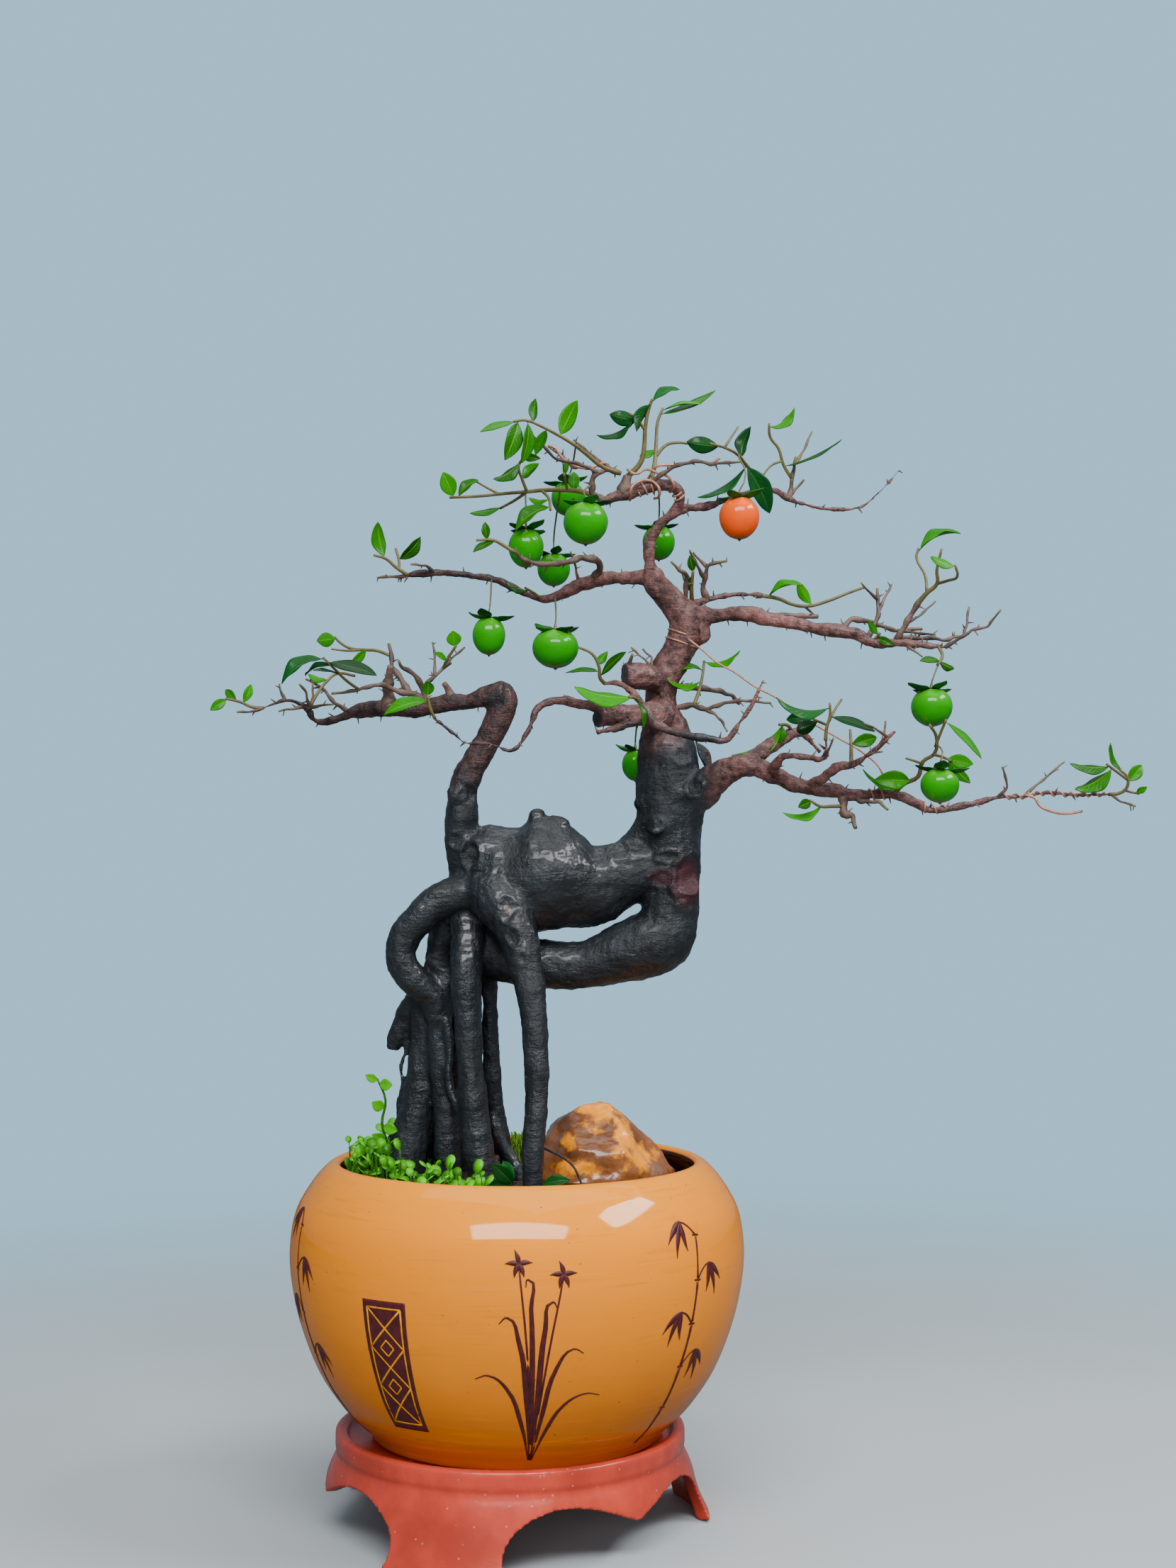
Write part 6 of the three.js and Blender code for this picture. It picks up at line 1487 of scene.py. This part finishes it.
class BONSAI_OT_trunk(bpy.types.Operator):
    """Grows the looped trunk and its roots from their routes, as one body of bark"""
    bl_idname = "bonsai.trunk"
    bl_label = "Trunk and roots"

    def execute(self, context):
        tree = context.scene.bonsai_tree
        thick = [limb_stations(route) for route in TRUNK + ROOTS + KNOTS]
        thick += [spread_out(route[:count]) for route, count in zip(LIMBS, LIMB_ROOTS) if count]
        trunk = tubes("trunk_body", thick, 20, 8)
        melt(trunk, TRUNK_CELL, 4)
        smooth_swell(trunk)
        nubs = [(seen(x, z, depth), reach, rise) for x, z, depth, reach, rise in BARK_NUBS]

        def relief(place, normal):
            folds = noise.noise(Vector((place.x / 3.4, place.y / 3.4, place.z / 26))) * 0.6
            rings = noise.noise(Vector((place.x / 14, place.y / 14, place.z / 2.4))) * 0.35
            grain = noise.noise(place / 2.2) * 0.25
            height = (lumps(place, (16, 1.2), (7, 0.7)) + folds + rings + grain) * tree.bark_relief
            for middle, reach, rise in nubs:
                away = (place - middle).length / reach
                if away < 2:
                    height += rise * math.exp(-(away * away))
            return height if normal.y > 0 else sum(scar_relief(place, normal), height)

        move_each_vertex(trunk, relief)
        flake = leaf_blade()
        matrices = [leaf_matrix((x, z), tip, width, 2, [(x, z, depth)])
                    for x, z, depth, tip, width in BARK_FLAKES]
        flakes = copies_of(flake, matrices, [0.5] * len(matrices), "bark_flakes")
        remove(flake)
        thicken(flakes, FLAKE_THICKNESS * MM)
        trunk = join([trunk, flakes], "trunk_body")
        place_piece(trunk, "trunk_and_roots", [bark_surface(tree)], ["trunk"])
        return {"FINISHED"}


class BONSAI_OT_limbs(bpy.types.Operator):
    """Grows the knobbly limbs and forks"""
    bl_idname = "bonsai.limbs"
    bl_label = "Limbs"

    def execute(self, context):
        relief = context.scene.bonsai_tree.bark_relief
        limbs = tubes("limb_body", [limb_stations(route, DEPTH_SPREAD) for route in LIMBS + FORKS], 14, 8)
        melt(limbs, LIMB_CELL, 3)
        move_each_vertex(limbs, lambda place, _: lumps(place, (9, 1.3), (4, 0.8), (1.6, 0.16)) * relief)
        place_piece(limbs, "limbs", [bpy.data.materials["Bark"]], ["trunk"])
        return {"FINISHED"}


def spurs_along(stations, spacing):
    """Short tapered spurs that stand off a stem, about so many millimetres apart, inside the CAD box."""
    low, high = CAD_BOX
    spurs = []
    for start, end in zip(stations, stations[1:]):
        length = math.dist(start[:2], end[:2])
        if random.random() > length / spacing or length < 0.5:
            continue
        x, z, radius, depth = between(start, end, random.random())
        side = random.choice((-1, 1))
        turn = math.atan2(end[1] - start[1], end[0] - start[0]) + side * random.uniform(0.8, 1.5)
        out = radius + random.uniform(1.2, 3.6)
        tip = (x + math.cos(turn) * out, z + math.sin(turn) * out, 0.22, depth + random.uniform(-2.5, 2.5))
        place = metres(seen(tip[0], tip[1], tip[3]))
        if all(low[axis] + MM < place[axis] < high[axis] - MM for axis in range(3)):
            spurs.append([(x, z, min(0.9, radius * 0.8), depth), tip])
    return spurs


def knobbly(stations):
    """A twig with a swelling at each bud and small bends between them."""
    twig = []
    for start, end in zip(stations, stations[1:]):
        steps = max(1, round(math.dist(start[:2], end[:2]) / 3.5))
        for k in range(steps):
            x, z, radius, depth = between(start, end, k / steps)
            wide = radius * (1.28 if len(twig) % 3 == 1 else 0.96)
            nudge = 0.35 if twig else 0
            twig.append((x + random.uniform(-nudge, nudge), z + random.uniform(-nudge, nudge), wide, depth))
    return [*twig, stations[-1]]


def coil_round(stations, first, last, turns, clearance):
    """A wire wound round a stem between two of its stations, given as fractions of their number."""
    wire = []
    steps = int(turns * 10)
    for k in range(steps + 1):
        along = first + (last - first) * k / steps
        index = min(int(along), len(stations) - 2)
        start, end = stations[index], stations[index + 1]
        x, z, radius, depth = between(start, end, along - index)
        forward = Vector((end[0] - start[0], end[3] - start[3], end[1] - start[1])).normalized()
        side = forward.cross(Vector((0, 1, 0))).normalized()
        angle = math.tau * turns * k / steps
        off = (side * math.cos(angle) + forward.cross(side) * math.sin(angle)) * (radius + clearance)
        wire.append((x + off.x, z + off.z, WIRE_RADIUS, depth + off.y))
    return wire


class BONSAI_OT_twigs(bpy.types.Operator):
    """Grows the bare twigs, with a swelling at each bud and short spurs"""
    bl_idname = "bonsai.twigs"
    bl_label = "Twigs"

    def execute(self, context):
        random.seed(5)
        routes, spurs = [], []
        for twig in TWIGS + FINE_TWIGS:
            routes.append(knobbly(twig_stations(*twig)))
            spurs += spurs_along(routes[-1], TWIG_SPUR_SPACING)
        for route in LIMBS[1:] + FORKS:
            spurs += spurs_along(spread_out(route), LIMB_SPUR_SPACING)
        twigs = tubes("twig_body", routes, 8, 3)
        ends = [route[-1] for route in routes]
        tips = [metres(seen(x, z, depth)) for x, z, radius, depth in ends if radius < 1.1]
        reach = YOUNG_TWIG_LENGTH * MM
        away = [min((vertex.co - tip).length for tip in tips) for vertex in twigs.data.vertices]
        young = twigs.data.attributes.new("young", "FLOAT", "POINT")
        young.data.foreach_set("value", [max(0.0, 1 - distance / reach) for distance in away])
        twigs = join([twigs, tubes("thorns", spurs, 6, 1)], "twig_body")
        place_piece(twigs, "bare_twigs", [twig_surface(context.scene.bonsai_tree)], ["trunk"])
        return {"FINISHED"}


class BONSAI_OT_wires(bpy.types.Operator):
    """Lays the shaping wire from the upper limb to the lower right branch, and the coils round the branches"""
    bl_idname = "bonsai.wires"
    bl_label = "Shaping wire"

    def execute(self, context):
        surface = plain_surface("Wire", srgb(190, 134, 112), 0.35, 400, Metallic=0.4)
        wire = tubes("wire_body", [with_radius(SHAPING_WIRE, WIRE_RADIUS)], 8, 6)
        place_piece(wire, "shaping_wire_bar", [surface], ["shaping_wire"])
        loops = [with_radius(route, LOOSE_WIRE_RADIUS) for route in WIRE_LOOPS]
        loops += [coil_round(spread_out(LIMBS[stem]), *winding) for *winding, stem in WIRE_COILS]
        place_piece(tubes("coil_body", loops, 8, 4), "wire_coils", [surface], ["trunk"])
        return {"FINISHED"}


def leaf_blade(arch=0.07, fold=0.055):
    """One leaf, one metre long and one wide, pointed at both ends, folded along its midrib and arched."""
    deselect()
    bpy.ops.mesh.primitive_grid_add(x_subdivisions=18, y_subdivisions=8, size=1)
    leaf = bpy.context.object
    layer = leaf.data.uv_layers.active or leaf.data.uv_layers.new(name="UVMap")
    for loop in leaf.data.loops:
        place = leaf.data.vertices[loop.vertex_index].co
        layer.data[loop.index].uv = (place.x + 0.5, place.y + 0.5)
    for vertex in leaf.data.vertices:
        u, v = vertex.co.x + 0.5, vertex.co.y * 2
        part = max(0.0, (u - 0.05) / 0.95)
        wide = max(0.035, 3.5 * part**0.86 * (1 - part) ** 0.95) if part < 1 else 0
        wave = 0.01 * math.sin(u * 13 + (2.2 if v > 0 else 0)) * v * v
        rise = fold * abs(v) * wide
        vertex.co = Vector((u, v * wide / 2, arch * 4 * u * (1 - u) + rise + wave - 0.02))
    return leaf


def copies_of(master, matrices, tones, name):
    """Copies of a master, each with its own mesh, joined. Each copy's tone is stored on its vertices."""
    copies = []
    for matrix, tone in zip(matrices, tones):
        copy = bpy.data.objects.new(name, master.data.copy())
        bpy.context.collection.objects.link(copy)
        copy.data.transform(matrix)
        attribute = copy.data.attributes.new("tone", "FLOAT", "POINT")
        attribute.data.foreach_set("value", [tone] * len(copy.data.vertices))
        copies.append(copy)
    return join(copies, name)


class BONSAI_OT_leaves(bpy.types.Operator):
    """Grows the leafy shoots, with a blade at each leaf's place"""
    bl_idname = "bonsai.leaves"
    bl_label = "Leafy shoots"

    def execute(self, context):
        tree = context.scene.bonsai_tree
        random.seed(11)
        bright = leaf_surface("Bright leaf", shade(tree.leaf, 0.85), shade(tree.leaf, 0.2), srgb(130, 190, 30))
        dark = leaf_surface("Dark leaf", shade(tree.dark_leaf, 1.2), shade(tree.dark_leaf, 0.35),
                            srgb(60, 130, 50))
        stem = plain_surface("Green stem", srgb(104, 94, 52), 0.4, 200)
        master = leaf_blade()
        for name, (shoots, leaves) in SPRAYS.items():
            first = len(grown)
            stems = [twig_stations(*shoot) for shoot in shoots]
            points = grown[first:]
            matrices = []
            for x, z, tip_x, tip_z, width, lean in leaves:
                curl = Matrix.Diagonal((1, 1, random.choice((-1, 1, 1)) * random.uniform(0.4, 2.1), 1))
                matrices.append(leaf_matrix((x, z), (tip_x, tip_z), width, lean, points) @ curl)
            blades = copies_of(master, matrices, [random.random() for _ in leaves], "blades")
            thicken(blades, tree.leaf_thickness)
            clean(blades)
            surface, slot = (dark, "dark_leaf") if name in DARK_SPRAYS else (bright, "leaf")
            blades.data.materials.append(surface)
            stalks = tubes("stalks", stems, 8, 4)
            stalks.data.materials.append(stem)
            spray = join([blades, stalks], "spray")
            node = "spray_" + name if name != "right_small" else "spray_right_drop"
            place_piece(spray, "leafy_shoot_" + name, [], [node])
        remove(master)
        return {"FINISHED"}


def shape_berry(berry, number, wide, tall, scale):
    """Turns a ball of radius 1 into a berry with a dimple at its calyx, a pointed tip and a faint seam."""
    for vertex in berry.data.vertices:
        x, y, z = vertex.co
        girth = 1 + 0.02 * math.sin(z * math.pi / 2)
        point = 0.11 if z < -0.999 else 0.0
        dimple = 0.12 * max(0.0, (z - 0.86) / 0.14) ** 1.5
        swell = 1 + 0.012 * noise.noise(Vector((x, y, z)) * 2.3 + Vector((number * 9, 0, 0)))
        seam = 1 - 0.012 * math.exp(-((math.atan2(x, -y) - 0.5) / 0.12) ** 2) * (1 - abs(z))
        vertex.co = Vector((x * girth * wide * swell * seam, y * girth * wide * swell * seam,
                            (z - point - dimple) * tall * swell)) * scale * MM


def sepal_matrices(number, top, wide, scale):
    """The places of a calyx's four lobes, each with its own reach and rise."""
    matrices = []
    for quarter in range(4):
        reach = (6.5 + 0.8 * wide) * scale * MM * (1.12 - 0.09 * ((quarter * 3 + number) % 4))
        out = Matrix.Rotation(0.4 + number - 1 + quarter * math.pi / 2, 4, "Z")
        rise = Matrix.Rotation(math.radians(-2 - 7 * ((quarter + number) % 3)), 4, "Y")
        size = Matrix.Diagonal((reach, reach * 0.56, reach * 1.1, 1))
        matrices.append(Matrix.Translation(top) @ out @ rise @ size)
    return matrices


class BONSAI_OT_fruits(bpy.types.Operator):
    """Hangs the berries with their four-lobed calyxes and stalks"""
    bl_idname = "bonsai.fruits"
    bl_label = "Fruits"

    def execute(self, context):
        tree = context.scene.bonsai_tree
        green = berry_surface("Green berry", tree.green_fruit, srgb(60, 164, 0), srgb(76, 100, 6))
        ripe = berry_surface("Ripe berry", tree.ripe_fruit, srgb(250, 100, 0), srgb(130, 84, 8))
        sepal = leaf_surface("Calyx", srgb(30, 104, 22), srgb(8, 44, 14), srgb(70, 130, 50))
        lobe = leaf_blade(-0.14, 0.12)
        for number, (at, wide, tall, depth, stalk) in enumerate(FRUITS, 1):
            depth *= DEPTH_SPREAD
            scale = nearness(depth)
            centre = metres(seen(*at, depth))
            deselect()
            bpy.ops.mesh.primitive_uv_sphere_add(segments=36, ring_count=28, radius=1)
            berry = bpy.context.object
            along = berry.data.attributes.new("along", "FLOAT", "POINT")
            along.data.foreach_set("value", [vertex.co.z / 2 + 0.5 for vertex in berry.data.vertices])
            shape_berry(berry, number, wide, tall, scale)
            berry.data.transform(Matrix.Translation(centre))
            skin, slot = (ripe, "ripe_fruit") if number == RIPE_FRUIT else (green, "green_fruit")
            node = f"{number:02d}"
            place_piece(berry, "berry_" + node, [skin], ["fruit_" + node])
            top = centre + Vector((0, 0, tall * scale * MM * 0.95))
            tones = [0.15 + 0.22 * quarter for quarter in range(4)]
            calyx = copies_of(lobe, sepal_matrices(number, top, wide, scale), tones, "lobes")
            thicken(calyx, SEPAL_THICKNESS * MM)
            clean(calyx)
            calyx.data.materials.append(sepal)
            x, z, start_depth = nearest_grown(stalk[0])
            stations = [(x, z, 0.6, start_depth), *[(x, z, 0.5, depth) for x, z in stalk[1:]],
                        (at[0], at[1] + tall + 2.5, 0.6, depth), (at[0], at[1] + tall * 0.9, 1.5, depth)]
            rod = tubes("stalk", [stations], 8, 5)
            rod.data.materials.append(bpy.data.materials["Green stem"])
            place_piece(join([calyx, rod], "calyx"), "calyx_and_stalk_" + node, [], ["calyx_" + node])
        remove(lobe)
        return {"FINISHED"}


def round_leaf():
    """A round cupped leaf of radius 1 with a nick where its stalk joins."""
    deselect()
    bpy.ops.mesh.primitive_circle_add(vertices=10, radius=1, fill_type="TRIFAN")
    disc = bpy.context.object
    for vertex in disc.data.vertices:
        x, y, _ = vertex.co
        vertex.co.z = -0.2 * (x * x + y * y) + 0.05 + 0.1 * x
        vertex.co.x += 0.75 if x < -0.9 else 1
    return disc


def upright(x, y, foot, rise):
    """A thin stalk from just below the soil at x and y to a leaf above it."""
    low_x, low = front_view(Vector((x, y, foot - 2)))
    high_x, high = front_view(Vector((x, y, foot + rise)))
    return [(low_x, low, 0.4, y), (low_x + 0.5, (low + high) / 2, 0.35, y), (high_x, high, 0.3, y)]


class BONSAI_OT_ground_plants(bpy.types.Operator):
    """Scatters round-leaved plants on the soil and up the pot's left edge"""
    bl_idname = "bonsai.ground_plants"
    bl_label = "Ground plants"

    def execute(self, context):
        ground = context.scene.bonsai_ground
        random.seed(23)
        disc = round_leaf()
        surface = round_leaf_surface(ground)
        for group, (start, end, share, tallest) in PLANT_GROUPS.items():
            matrices, tones, stalks = [], [], []
            for _ in range(int(ground.plant_leaves * share)):
                part = random.random()
                x, y = (place + random.gauss(0, PLANT_SCATTER) for place in between(start, end, part))
                reach = math.hypot(x, y)
                if reach > SOIL_REACH:
                    x, y = x * SOIL_REACH / reach, y * SOIL_REACH / reach
                foot = soil_level(x)
                rise = tallest * random.random() ** 1.6 + 2.5
                size = random.uniform(1.6, 3.8) if rise > 8 else random.uniform(1.8, 4.6)
                turn = Matrix.Rotation(random.gauss(1.6, 1.2), 4, "Z")
                tilt = Matrix.Rotation(random.uniform(-1.25, -0.1), 4, "Y")
                head = Vector((POT_AXIS + x * MM, y * MM, (foot + rise) * MM))
                matrices.append(Matrix.Translation(head) @ turn @ tilt @ Matrix.Scale(size * MM, 4))
                tones.append(random.random())
                stalks.append(upright(x, y, foot, rise))
            plant = copies_of(disc, matrices, tones, "round_leaves")
            thicken(plant, ROUND_LEAF_THICKNESS * MM)
            plant = join([plant, tubes("plant_stalks", stalks, 6, 2)], "plant")
            place_piece(plant, "round_plant_" + group, [surface], ["ground_plant_" + group])
        remove(disc)
        stalk = tubes("vine_stem", [limb_stations(VINE)], 8, 4)
        leaf = leaf_blade()
        matrices = [leaf_matrix(*place) for place in VINE_LEAVES]
        blades = copies_of(leaf, matrices, [0.6] * len(matrices), "vine_leaves")
        thicken(blades, BLADE_THICKNESS * MM)
        place_piece(join([blades, stalk], "vine"), "climbing_plant", [surface], ["ground_vine"])
        matrices = [leaf_matrix((x, z), tip, width, lean, [(x, z, depth)])
                    for x, z, depth, tip, width, lean in FALLEN_LEAVES]
        litter = copies_of(leaf, matrices, [0.2, 0.7, 0.4, 0.9], "fallen")
        thicken(litter, BLADE_THICKNESS * MM)
        remove(leaf)
        place_piece(litter, "fallen_leaves", [bpy.data.materials["Dark leaf"]], ["soil"])
        twig = tubes("fallen_twig", [with_radius(FALLEN_TWIG, 0.75)], 8, 5)
        place_piece(twig, "fallen_twig", [bpy.data.materials["Bark"]], ["soil"])
        return {"FINISHED"}


def moss_blade(x, y, height):
    """A tapered blade that leans a little, as stations from just below the soil."""
    foot = soil_level(x) - 2
    lean_x, lean_y = random.gauss(0, 2.2), random.gauss(0, 2.2)
    blade = []
    for part, wide in ((0, 0.8), (0.55, 0.7), (1, 0.3)):
        place = Vector((x + lean_x * part**2, y + lean_y * part**2, foot + (height + 2) * part))
        blade.append((*front_view(place), wide, place.y))
    return blade


def crumb_matrix():
    """A random place, turn and shape of a crumb on the soil."""
    angle, away = random.uniform(0, math.tau), 100 * random.random() ** 0.5
    x, y = math.cos(angle) * away, math.sin(angle) * away
    size = random.uniform(0.8, 2.4)
    turn = Matrix.Rotation(random.uniform(0, math.tau), 4, Vector((random.random(), random.random(), 1)))
    shape = Matrix.Diagonal((size * MM, size * random.uniform(0.6, 1) * MM, size * 0.6 * MM, 1))
    return Matrix.Translation(Vector((POT_AXIS + x * MM, y * MM, (soil_level(x) + 0.2) * MM))) @ turn @ shape


class BONSAI_OT_moss(bpy.types.Operator):
    """Grows moss behind the roots and scatters crumbs on the soil"""
    bl_idname = "bonsai.moss"
    bl_label = "Moss and crumbs"

    def execute(self, context):
        random.seed(31)
        blades = []
        for centre_x, centre_y, reach, tall, count in MOSS_CLUMPS:
            for _ in range(count):
                angle, away = random.uniform(0, math.tau), random.random() ** 0.6
                x, y = centre_x + math.cos(angle) * away * reach, centre_y + math.sin(angle) * away * reach
                blades.append(moss_blade(x, y, tall * (1 - 0.6 * away * away) * random.uniform(0.7, 1.1)))
        moss = tubes("moss_body", blades, 5, 2)
        place_piece(moss, "moss", [moss_surface(context.scene.bonsai_ground)], ["soil"])
        deselect()
        bpy.ops.mesh.primitive_ico_sphere_add(subdivisions=1, radius=1)
        crumb = bpy.context.object
        edit(crumb, (bpy.ops.mesh.vertices_smooth, {"factor": 0.2}))
        crumbs = copies_of(crumb, [crumb_matrix() for _ in range(CRUMBS)], [0.5] * CRUMBS, "crumbs")
        remove(crumb)
        place_piece(crumbs, "soil_crumbs", [bpy.data.materials["Soil"]], ["soil"], smooth=False)
        return {"FINISHED"}


def floor_surface(stage):
    """A pale floor that fades into the backdrop, and that reflects less light than it shows."""
    s = Surface("Floor")
    cloud = s.noise(3, 3)
    shown = s.node("LightPath", output="Is Camera Ray")
    pale = shown.blend(shade(stage.floor, 0.3), cloud.shades(stage.floor, 0.97, 1))
    s.finish(pale, 0.5 + cloud * 0.1, specular=0.1)
    haze = s.node("Emission", None, {"Color": opaque(stage.wall), "Strength": 1.0})
    fade = s.length(s.object_place).above(0.35, 1.5) * shown
    s.output(s.node("MixShader", None, {0: fade, 1: s.shader, 2: haze}))
    return s.material


class BONSAI_OT_stage(bpy.types.Operator):
    """Sets up the pale floor, the soft lights and the camera"""
    bl_idname = "bonsai.stage"
    bl_label = "Stage"

    def execute(self, context):
        stage = context.scene.bonsai_stage
        deselect()
        bpy.ops.mesh.primitive_plane_add(size=12, location=(0, 0, -0.0005))
        floor = bpy.context.object
        floor.name = "floor"
        floor.data.materials.append(floor_surface(stage))
        world = context.scene.world = bpy.data.worlds.new("Studio")
        world.use_nodes = True
        nodes, links = world.node_tree.nodes, world.node_tree.links
        soft_light = nodes["Background"]
        backdrop = nodes.new("ShaderNodeBackground")
        mix = nodes.new("ShaderNodeMixShader")
        soft_light.inputs["Color"].default_value = opaque(stage.soft_light)
        backdrop.inputs["Color"].default_value = opaque(stage.wall)
        links.new(nodes.new("ShaderNodeLightPath").outputs["Is Camera Ray"], mix.inputs[0])
        links.new(soft_light.outputs[0], mix.inputs[1])
        links.new(backdrop.outputs[0], mix.inputs[2])
        links.new(mix.outputs[0], nodes["World Output"].inputs["Surface"])
        lights = [
            ("Front light", (-0.02, -1.42, 1.62), (1.5, 0.55), stage.front_power),
            ("Side light", (1.4, -0.3, 1.75), (1.1, 0.4), stage.side_power),
            ("Top light", (0.1, 0.2, 2.4), (2.4, 2.4), stage.top_power),
            ("Low light", (-0.1, -1.7, 0.3), (1.6, 0.8), stage.low_power),
        ]
        for name, place, size, power in lights:
            aim = (Vector(LIGHTS_AIM) - Vector(place)).to_track_quat("-Z", "Y")
            bpy.ops.object.light_add(type="AREA", location=place, rotation=aim.to_euler())
            light = bpy.context.object
            light.name = name
            light.data.shape = "RECTANGLE"
            light.data.size, light.data.size_y = size
            light.data.energy = power
            light.visible_camera = False
            light.visible_glossy = name != "Low light"
        bpy.ops.object.camera_add(location=metres(EYE), rotation=(math.radians(90 + EYE_TILT_UP), 0, 0))
        camera = context.scene.camera = bpy.context.object
        camera.name = "Photograph camera"
        camera.data.sensor_width = SENSOR_WIDTH
        camera.data.lens = LENS
        camera.data.clip_start = 0.01
        return {"FINISHED"}


class BONSAI_PT_panel(bpy.types.Panel):
    """Lists the bonsai's settings and the operators that build it"""
    bl_label = "Bonsai"
    bl_idname = "BONSAI_PT_panel"
    bl_space_type = "VIEW_3D"
    bl_region_type = "UI"
    bl_category = "Bonsai"

    def draw(self, context):
        for title, name in SETTINGS.items():
            box = self.layout.box()
            box.label(text=title)
            settings = getattr(context.scene, name)
            for key in settings.__annotations__:
                box.prop(settings, key)
        for operator in OPERATORS:
            self.layout.operator(operator.bl_idname)


SETTINGS = {"Tree": "bonsai_tree", "Pot": "bonsai_pot", "Ground": "bonsai_ground", "Stage": "bonsai_stage"}
SETTING_CLASSES = (BonsaiTreeSettings, BonsaiPotSettings, BonsaiGroundSettings, BonsaiStageSettings)
OPERATORS = (
    BONSAI_OT_stage, BONSAI_OT_stand, BONSAI_OT_pot, BONSAI_OT_pot_motifs, BONSAI_OT_soil, BONSAI_OT_rock,
    BONSAI_OT_trunk, BONSAI_OT_limbs, BONSAI_OT_twigs, BONSAI_OT_wires, BONSAI_OT_leaves, BONSAI_OT_fruits,
    BONSAI_OT_ground_plants, BONSAI_OT_moss,
)


def register():
    for cls in (*SETTING_CLASSES, *OPERATORS, BONSAI_PT_panel):
        bpy.utils.register_class(cls)
    for name, cls in zip(SETTINGS.values(), SETTING_CLASSES):
        setattr(bpy.types.Scene, name, PointerProperty(type=cls))


def unregister():
    for name in SETTINGS.values():
        delattr(bpy.types.Scene, name)
    for cls in reversed((*SETTING_CLASSES, *OPERATORS, BONSAI_PT_panel)):
        bpy.utils.unregister_class(cls)


def main():
    register()
    for operator in OPERATORS:
        group, name = operator.bl_idname.split(".")
        getattr(getattr(bpy.ops, group), name)()


if __name__ == "__main__":
    main()
